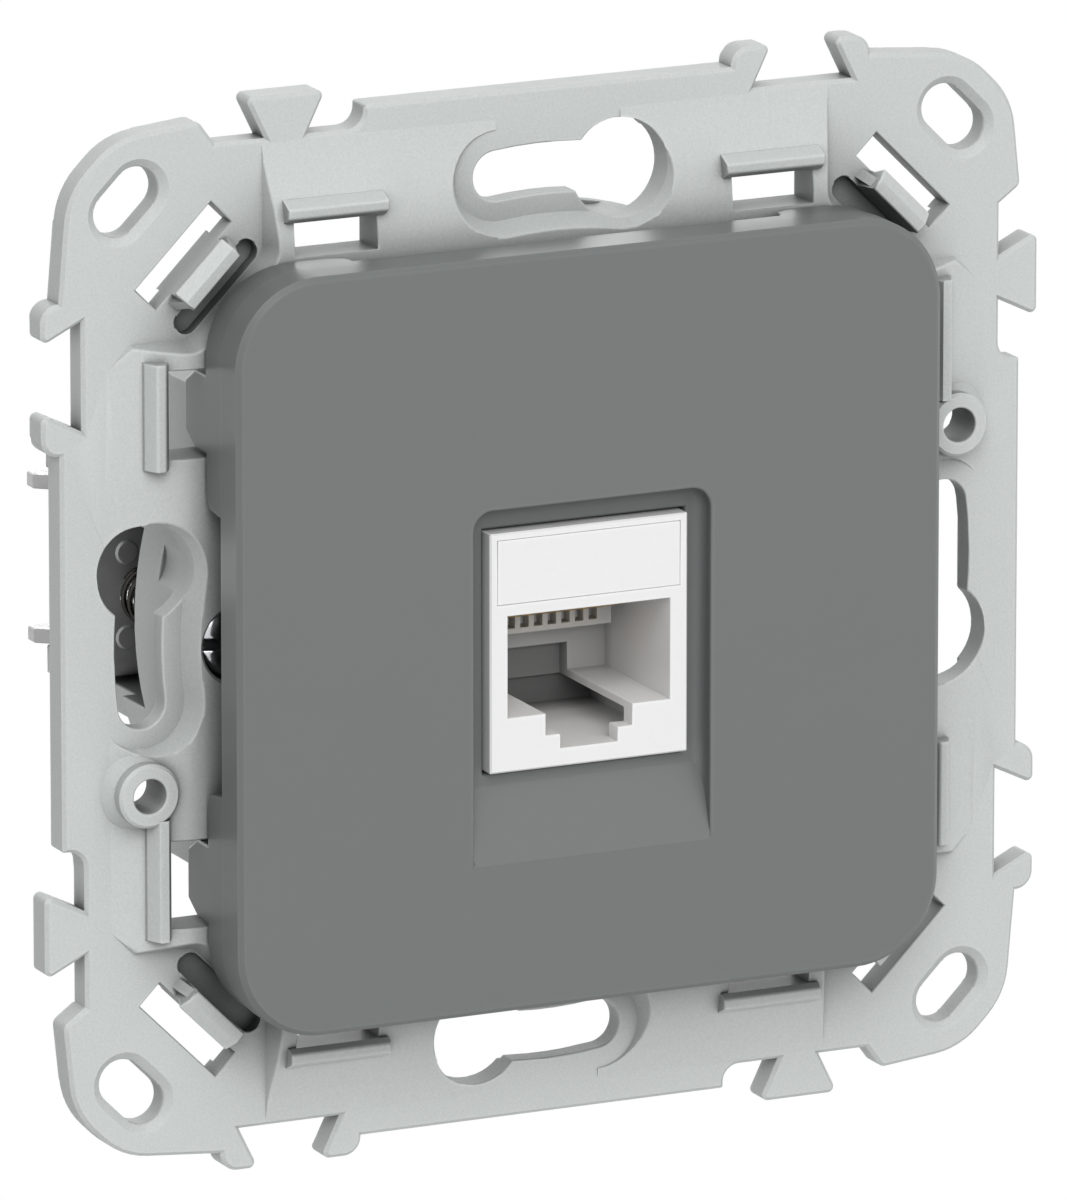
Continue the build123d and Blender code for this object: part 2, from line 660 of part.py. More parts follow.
def centre_plate():
    """Cover: rounded shell with a stepped skirt, a recess and four clip legs."""
    side = 2 * COVER_HALF
    low_side = side - 2 * SKIRT_STEP
    upper = rise(RectangleRounded(side, side, COVER_ROUND).face(), SKIRT_SPLIT, COVER_FRONT)
    upper = chamfer(upper.edges().group_by(Axis.Z)[-1], COVER_EDGE)
    lower = rise(RectangleRounded(low_side, low_side, COVER_ROUND - SKIRT_STEP).face(),
                 SKIRT_BOTTOM, SKIRT_SPLIT + 0.5)
    lower -= skirt_notch(TOP_CUT_HALF, TOP_CUT_Z)
    lower -= Rot(0, 0, 90) * skirt_notch(SIDE_CUT_HALF, SKIRT_SPLIT)
    inner_side = side - 2 * COVER_WALL
    hollow = rise(RectangleRounded(inner_side, inner_side, COVER_ROUND - COVER_WALL).face(),
                  SKIRT_BOTTOM - 1, COVER_FRONT - COVER_TOP)
    shell = upper + lower - hollow
    floor_z = RECESS_Z - RECESS_FLOOR_T
    shell += block(-RECESS_HALF - COVER_TOP, RECESS_HALF + COVER_TOP, RECESS_DOWN - COVER_TOP,
                   RECESS_UP + COVER_TOP, floor_z, COVER_FRONT - 1)
    shell -= recess_cut()
    hole = Rectangle(JACK_W + 2 * JACK_GAP, JACK_TALL + 2 * JACK_GAP).face()
    shell -= Pos(0, JACK_MID, 0) * rise(hole, floor_z - 1, COVER_FRONT + 1)
    for turned in half_turn(cover_leg()):
        shell += turned
    for turned in half_turn(Pos(0, -2 * WINDOW_PLACE, 0) * cover_leg()):
        shell += turned
    return shell


def jack_housing():
    """White insert: front with label seat and plug opening, cavity, latch channel, ledges."""
    half_w = JACK_W / 2
    body = Pos(0, JACK_MID, 0) * rise(Rectangle(JACK_W, JACK_TALL).face(), JACK_BACK, JACK_FRONT)
    body = chamfer(body.edges().group_by(Axis.Z)[-1], 0.12)
    port_half = PORT_W / 2
    back = JACK_FRONT - PORT_DEEP
    inner = JACK_FRONT - FRONT_WALL
    body -= block(-port_half, port_half, PORT_FLOOR, PORT_TOP, back, JACK_FRONT + 1)
    key_floor = PORT_FLOOR - KEY_DROP
    tab_floor = key_floor - TAB_DROP
    body -= block(-KEY_W / 2, KEY_W / 2, key_floor, PORT_FLOOR + 0.5, inner - 1, JACK_FRONT + 1)
    body -= block(-TAB_W / 2, TAB_W / 2, tab_floor, PORT_FLOOR, inner - 1, JACK_FRONT + 1)
    chamber_back = JACK_FRONT - CHAMBER_DEEP
    ledge = PORT_FLOOR - LEDGE_T
    body -= block(-CHAMBER_W / 2, CHAMBER_W / 2, tab_floor, ledge, chamber_back, inner)
    body -= block(-KEY_W / 2, KEY_W / 2, ledge - 0.2, PORT_FLOOR + 0.2, back - NICHE_DEEP, inner)
    body -= block(-KEY_W / 2, KEY_W / 2, ledge, NICHE_TOP, back - NICHE_DEEP, back + 0.5)
    shelf_half = SHELF_W / 2 + SHELF_GAP
    pocket_top = PORT_TOP + SHELF_GAP + SHELF_T + 2 * CONTACT_T
    body -= block(-shelf_half, shelf_half, PORT_TOP - 0.5, pocket_top, JACK_BACK - 1, inner)
    label_half = LABEL_W / 2 + LABEL_GAP
    label_tall = LABEL_TALL / 2 + LABEL_GAP
    body -= block(-label_half, label_half, LABEL_MID - label_tall, LABEL_MID + label_tall,
                  JACK_FRONT - LABEL_T, JACK_FRONT + 1)
    for sign in (-1, 1):
        body += block(sign * half_w, sign * (half_w + 0.1), JACK_MID - 3, JACK_MID + 3,
                      HOLDER_BACK + 1.2, HOLDER_BACK + 2.4)
    return body


def label_window():
    """Label panel set flush in the jack's front."""
    panel = rise(Rectangle(LABEL_W, LABEL_TALL).face(), JACK_FRONT - LABEL_T, JACK_FRONT)
    return Pos(0, LABEL_MID, 0) * panel


def contact_x(index):
    """Place across of one contact."""
    return (index - (CONTACTS - 1) / 2) * CONTACT_PITCH


def contact_comb():
    """Carrier shelf over the cavity with the comb that parts the contacts."""
    low = PORT_TOP + SHELF_GAP
    shelf = block(-SHELF_W / 2, SHELF_W / 2, low, low + SHELF_T, JACK_BACK, SHELF_FRONT)
    comb_front = JACK_FRONT - COMB_DEEP
    comb = block(-COMB_W / 2, COMB_W / 2, COMB_BOTTOM, low + 0.2, comb_front - COMB_T, comb_front)
    for index in range(CONTACTS):
        x = contact_x(index)
        comb -= block(x - COMB_SLOT / 2, x + COMB_SLOT / 2, COMB_BOTTOM + COMB_BAR, low - 0.25,
                      comb_front - COMB_T - 1, comb_front + 1)
    return shelf + comb


def bent(points):
    """Path of a formed contact: each bend is cut by a short straight."""
    path = [Vector(*points[0])]
    for index in range(1, len(points) - 1):
        here = Vector(*points[index])
        for other in (points[index - 1], points[index + 1]):
            path.append(here + (Vector(*other) - here).normalized() * BEND_CUT)
    path.append(Vector(*points[-1]))
    return Polyline(*path)


def contact_strip(path, index):
    """Thin strip of one contact along a path given as depth and height."""
    strip = extrude(trace(path, CONTACT_T).face(), amount=CONTACT_W / 2, dir=(0, 0, 1), both=True)
    return Pos(contact_x(index), 0, 0) * Rot(0, -90, 0) * strip


def contact_leg(index):
    """Fixed leg of a contact: from the board along the shelf and over its front edge."""
    top = PORT_TOP + SHELF_GAP + SHELF_T + CONTACT_T / 2
    front = SHELF_FRONT + BEND_OUT
    end = ARM_SPLIT_Y + ARM_SPLIT_GAP / 2
    return contact_strip(bent([(JACK_BACK, top), (front, top), (front, end)]), index)


def contact_arm(index):
    """Springing arm of a contact: from its bend down and back into the comb."""
    front = SHELF_FRONT + BEND_OUT
    comb_front = JACK_FRONT - COMB_DEEP
    path = [(front, ARM_SPLIT_Y - ARM_SPLIT_GAP / 2), (front, ARM_START_Y),
            (comb_front + 0.1, ARM_END_Y), (comb_front + 0.1 - ARM_HOOK, ARM_END_Y + 0.1)]
    return contact_strip(bent(path), index)


def jack_board():
    """Small circuit board that closes the back of the jack."""
    board = rise(Rectangle(BOARD_W, BOARD_TALL).face(), JACK_BACK - BOARD_T, JACK_BACK)
    return Pos(0, JACK_MID, 0) * board


def terminal_places():
    """Middles of the eight wire terminals: two rows of four."""
    places = []
    for sign in (-1, 1):
        for column in range(CONTACTS // 2):
            x = (column - (CONTACTS // 2 - 1) / 2) * TERMINAL_PITCH
            places.append((x, JACK_MID + sign * TERMINAL_ROW))
    return places


def terminal_block():
    """Terminal block behind the board, with a wire slot and a cell for each terminal."""
    front = JACK_BACK - BOARD_T
    back = front - BLOCK_DEEP
    body = Pos(0, JACK_MID, 0) * rise(RectangleRounded(BLOCK_W, BLOCK_TALL, BLOCK_ROUND).face(),
                                      back, front)
    for x, y in terminal_places():
        side = 1 if y > JACK_MID else -1
        body -= block(x - WIRE_SLOT / 2, x + WIRE_SLOT / 2, y - side * 2.0, JACK_MID + side * BLOCK_TALL,
                      back - 1, back + WIRE_DEEP)
        body -= block(x - TERMINAL_W / 2 - 0.05, x + TERMINAL_W / 2 + 0.05, y - TERMINAL_T / 2 - 0.05,
                      y + TERMINAL_T / 2 + 0.05, back - 1, back + TERMINAL_DEEP)
    centre = block(-BLOCK_W / 2 - 1, BLOCK_W / 2 + 1, JACK_MID - 1.6, JACK_MID + 1.6, back - 1, back + 2.5)
    return body - centre


def wire_terminal(x, y):
    """Forked blade that bites through a wire's sleeve."""
    back = JACK_BACK - BOARD_T - BLOCK_DEEP
    blade = block(x - TERMINAL_W / 2, x + TERMINAL_W / 2, y - TERMINAL_T / 2, y + TERMINAL_T / 2,
                  back + 0.6, back + TERMINAL_DEEP)
    return blade - block(x - TERMINAL_SLIT / 2, x + TERMINAL_SLIT / 2, y - 1, y + 1,
                         back, back + WIRE_DEEP - 0.4)


def wire_cap():
    """Cap over the terminals, open below for the cable."""
    back = JACK_BACK - BOARD_T - BLOCK_DEEP
    grip = BLOCK_TALL / 2 + CAP_CLEAR
    width = BLOCK_W / 2 + CAP_CLEAR
    outer = RectangleRounded(2 * (width + CAP_WALL), 2 * (grip + CAP_WALL), 1.6).face()
    inner = RectangleRounded(2 * width, 2 * grip, BLOCK_ROUND).face()
    shell = rise(outer, back - CAP_DEEP, back + 2.0)
    shell = chamfer(shell.edges().group_by(Axis.Z)[0], 0.6)
    shell -= rise(inner, back - CAP_DEEP + CAP_WALL, back + 3)
    cable = Pos(0, -grip, back - CABLE_R) * Rot(90, 0, 0) * Cylinder(CABLE_R, 4 * CAP_WALL)
    mouth = block(-CABLE_R, CABLE_R, -grip - 2 * CAP_WALL, -grip + 2 * CAP_WALL, back - CABLE_R, back + 3)
    return Pos(0, JACK_MID, 0) * (shell - cable - mouth)


def module_holder():
    """Sleeve that holds the jack, with a flange on the frame and clips behind it."""
    inner_w = JACK_W / 2 + HOLDER_CLEAR
    inner_t = JACK_TALL / 2 + HOLDER_CLEAR
    outer_w = inner_w + HOLDER_WALL
    outer_t = inner_t + HOLDER_WALL
    body = rise(RectangleRounded(2 * outer_w, 2 * outer_t, 1.0).face(), HOLDER_BACK, HOLDER_FRONT)
    flange = RectangleRounded(2 * (outer_w + FLANGE_REACH), 2 * (outer_t + FLANGE_REACH), 2.0).face()
    body += rise(flange, FLOOR_Z, FLOOR_Z + FLANGE_T)
    reach = outer_w + CLIP_REACH
    wedge = Face(Wire([
        Line((outer_w - 0.3, 0, -0.05), (reach, 0, -0.05)),
        Line((reach, 0, -0.05), (outer_w, 0, -CLIP_LONG)),
        Line((outer_w, 0, -CLIP_LONG), (outer_w - 0.3, 0, -CLIP_LONG)),
        Line((outer_w - 0.3, 0, -CLIP_LONG), (outer_w - 0.3, 0, -0.05)),
    ]))
    clip = extrude(wedge, amount=CLIP_W / 2, dir=(0, 1, 0), both=True)
    body += [clip, Rot(0, 0, 180) * clip]
    bore = block(-inner_w, inner_w, -inner_t, inner_t, HOLDER_BACK - 1, HOLDER_FRONT + 1)
    return Pos(0, JACK_MID, 0) * (body - bore)


def claw():
    """Bent steel claw of the right side: a base on the screw and two toothed legs."""
    inner = CLAW_HALF - CLAW_SHEET
    low = CLAW_TIP_Z - 1
    channel = rounded_face([
        (-CLAW_HALF, low, 0), (-CLAW_HALF, CLAW_BASE_Z, CLAW_BEND),
        (CLAW_HALF, CLAW_BASE_Z, CLAW_BEND), (CLAW_HALF, low, 0), (inner, low, 0),
        (inner, CLAW_BASE_Z - CLAW_SHEET, CLAW_BEND - CLAW_SHEET),
        (-inner, CLAW_BASE_Z - CLAW_SHEET, CLAW_BEND - CLAW_SHEET), (-inner, low, 0),
    ])
    bent = Plane.YZ * extrude(channel, amount=CLAW_BASE_OUT + 1, dir=(0, 0, 1))
    leg = rounded_face([
        (CLAW_BASE_IN, CLAW_BASE_Z + 1, 0), (CLAW_BASE_OUT, CLAW_BASE_Z + 1, 0),
        (CLAW_BASE_OUT, CLAW_BASE_Z - 1.6, 0), (CLAW_NECK_OUT, CLAW_BASE_Z - 3.6, 0),
        (CLAW_NECK_OUT - 0.2, CLAW_TIP_Z + 3.0, 0), (CLAW_TIP_OUT, CLAW_TIP_Z + CLAW_TOOTH, 0),
        (CLAW_TIP_OUT, CLAW_TIP_Z, 0), (CLAW_LEG_IN, CLAW_TIP_Z, 0),
        (CLAW_BASE_IN, CLAW_BASE_Z - 4.0, 0),
    ])
    outline = Rot(90, 0, 0) * extrude(leg, amount=CLAW_HALF + 1, dir=(0, 0, 1), both=True)
    shape = bent & outline
    for sign in (-1, 1):
        dimple = Cone(DIMPLE_R, DIMPLE_R - DIMPLE_H, DIMPLE_H)
        shape += Pos(DIMPLE_X, sign * DIMPLE_Y, CLAW_BASE_Z + DIMPLE_H / 2) * dimple
    lean = math.radians(TILT_DEG)
    hole_r = SHANK_R + RUN_CLEAR
    hole_half = SHANK_R / math.cos(lean) + CLAW_SHEET / 2 * math.tan(lean) + RUN_CLEAR
    hole = SlotCenterToCenter(2 * (hole_half - hole_r), 2 * hole_r).face()
    shape -= Pos(CLAW_SCREW_X, 0, 0) * rise(hole, CLAW_BASE_Z - 3, CLAW_BASE_Z + 1)
    return shape


def claw_screw():
    """Claw screw of the right side: low domed head with slot and cross, plain shank."""
    head = Pos(0, 0, HEAD_TOP - HEAD_H / 2) * Cylinder(HEAD_R, HEAD_H)
    head = chamfer(head.edges().group_by(Axis.Z)[-1], HEAD_DOME, HEAD_BEVEL)
    shank = Pos(0, 0, HEAD_SEAT - SHANK_LONG / 2 + 0.1) * Cylinder(SHANK_R, SHANK_LONG + 0.2)
    shank = chamfer(shank.edges().group_by(Axis.Z)[0], 0.4)
    slot = Box(2 * HEAD_R + 1, DRIVE_SLOT, 2 * DRIVE_DEEP)
    cross = Box(DRIVE_SLOT, 1.3 * HEAD_R, 2.4 * DRIVE_DEEP)
    screw = head + shank - Pos(0, 0, HEAD_TOP) * (slot + cross)
    return Pos(CLAW_SCREW_X, 0, 0) * screw


def claw_spring():
    """Return spring round the right claw screw, between the seat and the claw."""
    top = -SEAT_BOSS_DEEP - SPRING_WIRE / 2 - 0.05
    bottom = CLAW_BASE_Z + SPRING_WIRE / 2 + 0.05
    height = top - bottom
    count = SPRING_TURNS * SPRING_FACETS
    points = []
    for index in range(count + 1):
        turn = 2 * math.pi * index / SPRING_FACETS
        points.append((SPRING_R * math.cos(turn), SPRING_R * math.sin(turn), height * index / count))
    path = Polyline(*points)
    start = Plane(origin=path @ 0, x_dir=(1, 0, 0), z_dir=path % 0)
    section = start * Rectangle(SPRING_WIRE, SPRING_WIRE)
    coil = sweep(section, path=path, transition=Transition.RIGHT)
    return Pos(CLAW_SCREW_X, 0, bottom) * coil


def build_pieces():
    """Every piece by name."""
    pieces = {
        "support_frame": support_frame(),
        "centre_plate": centre_plate(),
        "jack_housing": jack_housing(),
        "label_window": label_window(),
        "contact_comb": contact_comb(),
        "jack_board": jack_board(),
        "terminal_block": terminal_block(),
        "wire_cap": wire_cap(),
        "module_holder": module_holder(),
    }
    pieces["contact_legs"] = Compound([contact_leg(index) for index in range(CONTACTS)])
    for index in range(CONTACTS):
        pieces[f"spring_contact_{index + 1}"] = contact_arm(index)
    for number, (x, y) in enumerate(terminal_places(), start=1):
        pieces[f"wire_terminal_{number}"] = wire_terminal(x, y)
    for name, shape in (("claw", claw()), ("claw_screw", claw_screw()), ("claw_spring", claw_spring())):
        pieces[f"right_{name}"] = shape
        pieces[f"left_{name}"] = Rot(0, 0, 180) * shape
    return pieces


os.makedirs("parts", exist_ok=True)
for name, shape in build_pieces().items():
    export_step(stand(shape), f"parts/{name}.step")
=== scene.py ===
"""Dresses the flush telephone socket: moulded plastics, plated steel, threads, springs and light."""

import logging
import math
from dataclasses import dataclass, field
from enum import Enum
from typing import Callable

import bmesh
import bpy
import numpy as np
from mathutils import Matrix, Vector
from mathutils.bvhtree import BVHTree
from mathutils.interpolate import poly_3d_calc


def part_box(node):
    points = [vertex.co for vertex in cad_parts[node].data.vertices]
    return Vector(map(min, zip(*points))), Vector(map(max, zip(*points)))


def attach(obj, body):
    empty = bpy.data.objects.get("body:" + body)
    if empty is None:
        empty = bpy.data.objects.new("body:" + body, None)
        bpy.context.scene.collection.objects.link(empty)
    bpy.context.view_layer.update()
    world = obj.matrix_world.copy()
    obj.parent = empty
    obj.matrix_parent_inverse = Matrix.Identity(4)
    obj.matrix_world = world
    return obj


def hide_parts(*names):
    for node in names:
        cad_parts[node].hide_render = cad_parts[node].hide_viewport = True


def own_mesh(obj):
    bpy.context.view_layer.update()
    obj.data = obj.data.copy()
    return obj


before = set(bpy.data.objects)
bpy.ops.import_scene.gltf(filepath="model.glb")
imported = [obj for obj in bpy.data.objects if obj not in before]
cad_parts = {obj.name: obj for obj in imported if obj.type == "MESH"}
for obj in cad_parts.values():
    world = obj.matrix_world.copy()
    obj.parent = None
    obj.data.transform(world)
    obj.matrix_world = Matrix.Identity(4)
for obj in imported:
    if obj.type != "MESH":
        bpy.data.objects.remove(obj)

LOG = logging.getLogger("socket")
MM = 0.001
STALE_LAYERS = ("custom_normal", "sharp_edge", "sharp_face")
WEIGHT_LAYER = "bevel_weight_edge"
SEAM = 0.002 * MM
SLIVER = 0.0005 * MM
FLAT = math.radians(0.15)

Colour = tuple[float, float, float, float]


class Side(Enum):
    """The two sides that carry a claw, as seen from the room."""

    LEFT = -1
    RIGHT = 1

    @property
    def word(self) -> str:
        """Name of the side as the pieces use it."""
        return self.name.lower()


class Surface(Enum):
    """How a mould face was finished: roughness, grain size in metres and grain height in metres."""

    ERODED = (0.55, 0.00016, 0.0000075)
    MATT = (0.42, 0.00011, 0.0000030)
    SATIN = (0.32, 0.00030, 0.0000012)
    POLISHED = (0.20, 0.00060, 0.0000006)

    @property
    def roughness(self) -> float:
        """Roughness of the sheen."""
        return self.value[0]

    @property
    def grain(self) -> float:
        """Size of one grain."""
        return self.value[1]

    @property
    def height(self) -> float:
        """Height of the grain."""
        return self.value[2]


class Joining(Enum):
    """What one closed mesh does to another."""

    CUT = "DIFFERENCE"
    WELD = "UNION"


def linear(red: int, green: int, blue: int) -> Colour:
    """Colour for the shader from the values 0 to 255 that the eye reads.

    Args:
        red: Red value.
        green: Green value.
        blue: Blue value.

    Returns:
        Linear colour with full alpha.
    """
    def curve(value: int) -> float:
        """One channel made linear."""
        share = value / 255
        return share / 12.92 if share <= 0.04045 else ((share + 0.055) / 1.055) ** 2.4
    return curve(red), curve(green), curve(blue), 1.0


class NodeSheet:
    """Node tree of one material, with short calls to add and join nodes."""

    def __init__(self, name: str) -> None:
        """Starts the material and its shader.

        Args:
            name: Name of the material.
        """
        self.material = bpy.data.materials.new(name)
        self.material.use_nodes = True
        self.tree = self.material.node_tree
        self.shader = self.tree.nodes["Principled BSDF"]

    def add(self, kind: str, **settings: object) -> bpy.types.Node:
        """Adds a node.

        Args:
            kind: Blender's name of the node type.
            settings: Properties set on the node.

        Returns:
            The new node.
        """
        node = self.tree.nodes.new(kind)
        for key, value in settings.items():
            setattr(node, key, value)
        return node

    def join(self, start: bpy.types.NodeSocket, end: bpy.types.NodeSocket) -> None:
        """Joins two sockets."""
        self.tree.links.new(start, end)

    def put(self, **values: float) -> None:
        """Sets plain values on the shader, with underscores for the spaces in a socket's name."""
        for key, value in values.items():
            self.shader.inputs[key.replace("_", " ")].default_value = value

    def body_place(self) -> bpy.types.NodeSocket:
        """Place on the piece itself, which rides along when the piece moves."""
        return self.add("ShaderNodeTexCoord").outputs["Object"]

    def noise(self, size: float, detail: float, place: bpy.types.NodeSocket) -> bpy.types.NodeSocket:
        """Noise of a given size in metres.

        Args:
            size: Size of one bump.
            detail: Finer layers of the noise.
            place: Socket that gives the place.

        Returns:
            Socket with a value from 0 to 1.
        """
        node = self.add("ShaderNodeTexNoise")
        node.inputs["Scale"].default_value = 1 / size
        node.inputs["Detail"].default_value = detail
        self.join(place, node.inputs["Vector"])
        return node.outputs["Fac"]

    def fade(self, value: bpy.types.NodeSocket, span: tuple[float, float],
             result: tuple[float, float] = (0.0, 1.0)) -> bpy.types.NodeSocket:
        """Maps one range on to another and holds the ends.

        Args:
            value: Socket with the value.
            span: Where the value starts and ends to count.
            result: What comes out at the two ends.

        Returns:
            Socket with the mapped value.
        """
        node = self.add("ShaderNodeMapRange")
        self.join(value, node.inputs["Value"])
        for key, number in zip(("From Min", "From Max", "To Min", "To Max"), (*span, *result)):
            node.inputs[key].default_value = number
        return node.outputs["Result"]

    def spread(self, value: bpy.types.NodeSocket, low: float, high: float) -> bpy.types.NodeSocket:
        """Maps the middle of a noise, where nearly all its values lie, on to a range.

        Args:
            value: Socket with the noise.
            low: Lowest result.
            high: Highest result.

        Returns:
            Socket with the mapped value.
        """
        return self.fade(value, (0.3, 0.7), (low, high))

    def product(self, first: bpy.types.NodeSocket, *others: bpy.types.NodeSocket) -> bpy.types.NodeSocket:
        """Multiplies values.

        Args:
            first: Socket with the first value.
            others: Sockets with the other values.

        Returns:
            Socket with the product.
        """
        total = first
        for other in others:
            node = self.add("ShaderNodeMath", operation="MULTIPLY")
            self.join(total, node.inputs[0])
            self.join(other, node.inputs[1])
            total = node.outputs[0]
        return total

    def tint(self, colour: Colour, value: bpy.types.NodeSocket) -> None:
        """Gives the shader a colour that a value makes lighter or darker.

        Args:
            colour: Linear colour.
            value: Socket with the factor.
        """
        node = self.add("ShaderNodeVectorMath", operation="SCALE")
        node.inputs[0].default_value = colour[:3]
        self.join(value, node.inputs["Scale"])
        self.join(node.outputs["Vector"], self.shader.inputs["Base Color"])

    def painted_hollow_shade(self, dark: float, reach: float) -> bpy.types.NodeSocket:
        """Painted shade of deep hollows: the colour itself darkens where the walls close in and little
        light gets in.

        Args:
            dark: Shade where the hollow is closed all round.
            reach: How far the walls of a hollow count, in metres.

        Returns:
            Socket with 1 in the open and less in a hollow.
        """
        node = self.add("ShaderNodeAmbientOcclusion", samples=8)
        node.inputs["Distance"].default_value = reach
        return self.fade(node.outputs["AO"], (0.15, 0.84), (dark, 1.0))

    def painted_edge_highlight(self, gain: float, reach: float) -> bpy.types.NodeSocket:
        """Painted highlight: a paler line on outer edges that stands in for light caught by their small
        rounds.

        Args:
            gain: Factor on the edge itself.
            reach: How far from the edge the line fades, in metres.

        Returns:
            Socket with 1 on open faces and the gain on edges.
        """
        node = self.add("ShaderNodeAmbientOcclusion", samples=6, inside=True, only_local=True)
        node.inputs["Distance"].default_value = reach
        return self.fade(node.outputs["AO"], (0.55, 0.95), (gain, 1.0))

    def painted_rear_shade(self, place: bpy.types.NodeSocket, dark: float,
                 span: tuple[float, float]) -> bpy.types.NodeSocket:
        """Painted shade that grows towards the rear of a piece, standing in for the shadow deep inside
        it.

        Args:
            place: Socket that gives the place.
            dark: Factor at the rear.
            span: Places along +Y where the shade starts and where it is full.

        Returns:
            Socket with the factor.
        """
        parts = self.add("ShaderNodeSeparateXYZ")
        self.join(place, parts.inputs["Vector"])
        return self.fade(parts.outputs["Y"], span, (1.0, dark))

    def bump(self, height: bpy.types.NodeSocket, depth: float) -> None:
        """Lets a height socket dent the surface.

        Args:
            height: Socket with a value from 0 to 1.
            depth: Depth in metres at 1.
        """
        node = self.add("ShaderNodeBump")
        node.inputs["Strength"].default_value = 1.0
        node.inputs["Distance"].default_value = depth
        self.join(height, node.inputs["Height"])
        self.join(node.outputs["Normal"], self.shader.inputs["Normal"])


@dataclass(frozen=True)
class MouldedPlastic:
    """Injection-moulded plastic: colour, sheen, mould grain, faint flow marks, painted shade in hollows
    and at the rear, and painted edge highlights.
    """

    name: str
    colour: Colour
    surface: Surface
    flow: float = 0.02
    # painted shade: factor on the colour where a hollow is closed all round
    painted_hollow_shade: float = 0.5
    reach: float = 6 * MM
    speckle: float = 0.006
    # painted highlight: factor on the colour right on outer edges
    edge: float = 1.05
    highlight_reach: float = 0.3 * MM
    # painted shade: factor on the colour at the rear; 1 leaves it out
    rear: float = 1.0
    rear_shade_span: tuple[float, float] = (0.2 * MM, 3.0 * MM)
    cloud: float = 9 * MM
    mottle: float = 0.03
    index: float = 1.49

    def material(self) -> bpy.types.Material:
        """Builds the plastic.

        Returns:
            The material.
        """
        sheet = NodeSheet(self.name)
        place = sheet.body_place()
        cloud = sheet.noise(self.cloud, 3.0, place)
        grain = sheet.noise(self.surface.grain, 2.5, place)
        # Flow marks and grain are the plastic's own tone; the other factors are painted shade in hollows,
        # a painted highlight on edges and, below, painted shade towards the rear.
        shades = [sheet.spread(cloud, 1 - self.flow, 1 + self.flow),
                  sheet.spread(grain, 1 - self.speckle, 1 + self.speckle),
                  sheet.painted_hollow_shade(self.painted_hollow_shade, self.reach), sheet.painted_edge_highlight(self.edge, self.highlight_reach)]
        if self.rear < 1:
            shades.append(sheet.painted_rear_shade(place, self.rear, self.rear_shade_span))
        sheet.tint(self.colour, sheet.product(*shades))
        rough = self.surface.roughness
        sheet.join(sheet.spread(cloud, rough - self.mottle, rough + self.mottle),
                   sheet.shader.inputs["Roughness"])
        sheet.bump(grain, self.surface.height)
        sheet.put(IOR=self.index)
        return sheet.material


@dataclass(frozen=True)
class PlatedSteel:
    """Plated metal: bright or dark, with drawn lines and small stains."""

    name: str
    colour: Colour
    roughness: float
    lines: tuple[float, float, float] = (1.0, 1.0, 1.0)
    scratch: float = 0.0000015
    metal: float = 1.0
    line: float = 0.12 * MM
    stain: float = 1.6 * MM
    stain_shades: tuple[float, float] = (0.9, 1.06)
    smoother: float = 0.07
    rougher: float = 0.09
    smoothest: float = 0.03

    def material(self) -> bpy.types.Material:
        """Builds the plating.

        Returns:
            The material.
        """
        sheet = NodeSheet(self.name)
        place = sheet.body_place()
        stretch = sheet.add("ShaderNodeVectorMath", operation="MULTIPLY")
        stretch.inputs[1].default_value = self.lines
        sheet.join(place, stretch.inputs[0])
        drawn = sheet.noise(self.line, 3.0, stretch.outputs["Vector"])
        stain = sheet.noise(self.stain, 4.0, place)
        sheet.tint(self.colour, sheet.spread(stain, *self.stain_shades))
        low, high = max(self.roughness - self.smoother, self.smoothest), self.roughness + self.rougher
        sheet.join(sheet.spread(drawn, low, high), sheet.shader.inputs["Roughness"])
        sheet.bump(drawn, self.scratch)
        sheet.put(Metallic=self.metal)
        return sheet.material


@dataclass(frozen=True)
class LacqueredBoard:
    """Circuit board under green lacquer, with the tracks showing through."""

    name: str = "board lacquer"
    ground: Colour = linear(24, 84, 48)
    track: Colour = linear(52, 122, 66)
    pitch: float = 1.016 * MM
    band: float = 0.314
    waver: float = 0.6
    waver_size: float = 2 * MM
    track_edge: tuple[float, float] = (0.72, 0.8)
    track_height: float = 0.03 * MM

    def material(self) -> bpy.types.Material:
        """Builds the lacquer; a wave of scale 1 has bands as wide as the field band, in metres.

        Returns:
            The material.
        """
        sheet = NodeSheet(self.name)
        wave = sheet.add("ShaderNodeTexWave", wave_type="BANDS", bands_direction="X")
        wave.inputs["Scale"].default_value = self.band / self.pitch
        wave.inputs["Distortion"].default_value = self.waver
        wave.inputs["Detail Scale"].default_value = 1 / self.waver_size
        sheet.join(sheet.body_place(), wave.inputs["Vector"])
        tracks = sheet.fade(wave.outputs["Fac"], self.track_edge)
        mix = sheet.add("ShaderNodeMix", data_type="RGBA")
        sheet.join(tracks, mix.inputs["Factor"])
        mix.inputs["A"].default_value = self.ground
        mix.inputs["B"].default_value = self.track
        sheet.join(mix.outputs["Result"], sheet.shader.inputs["Base Color"])
        sheet.bump(tracks, self.track_height)
        sheet.put(Roughness=0.28, IOR=1.5)
        return sheet.material


Finish = MouldedPlastic | PlatedSteel | LacqueredBoard

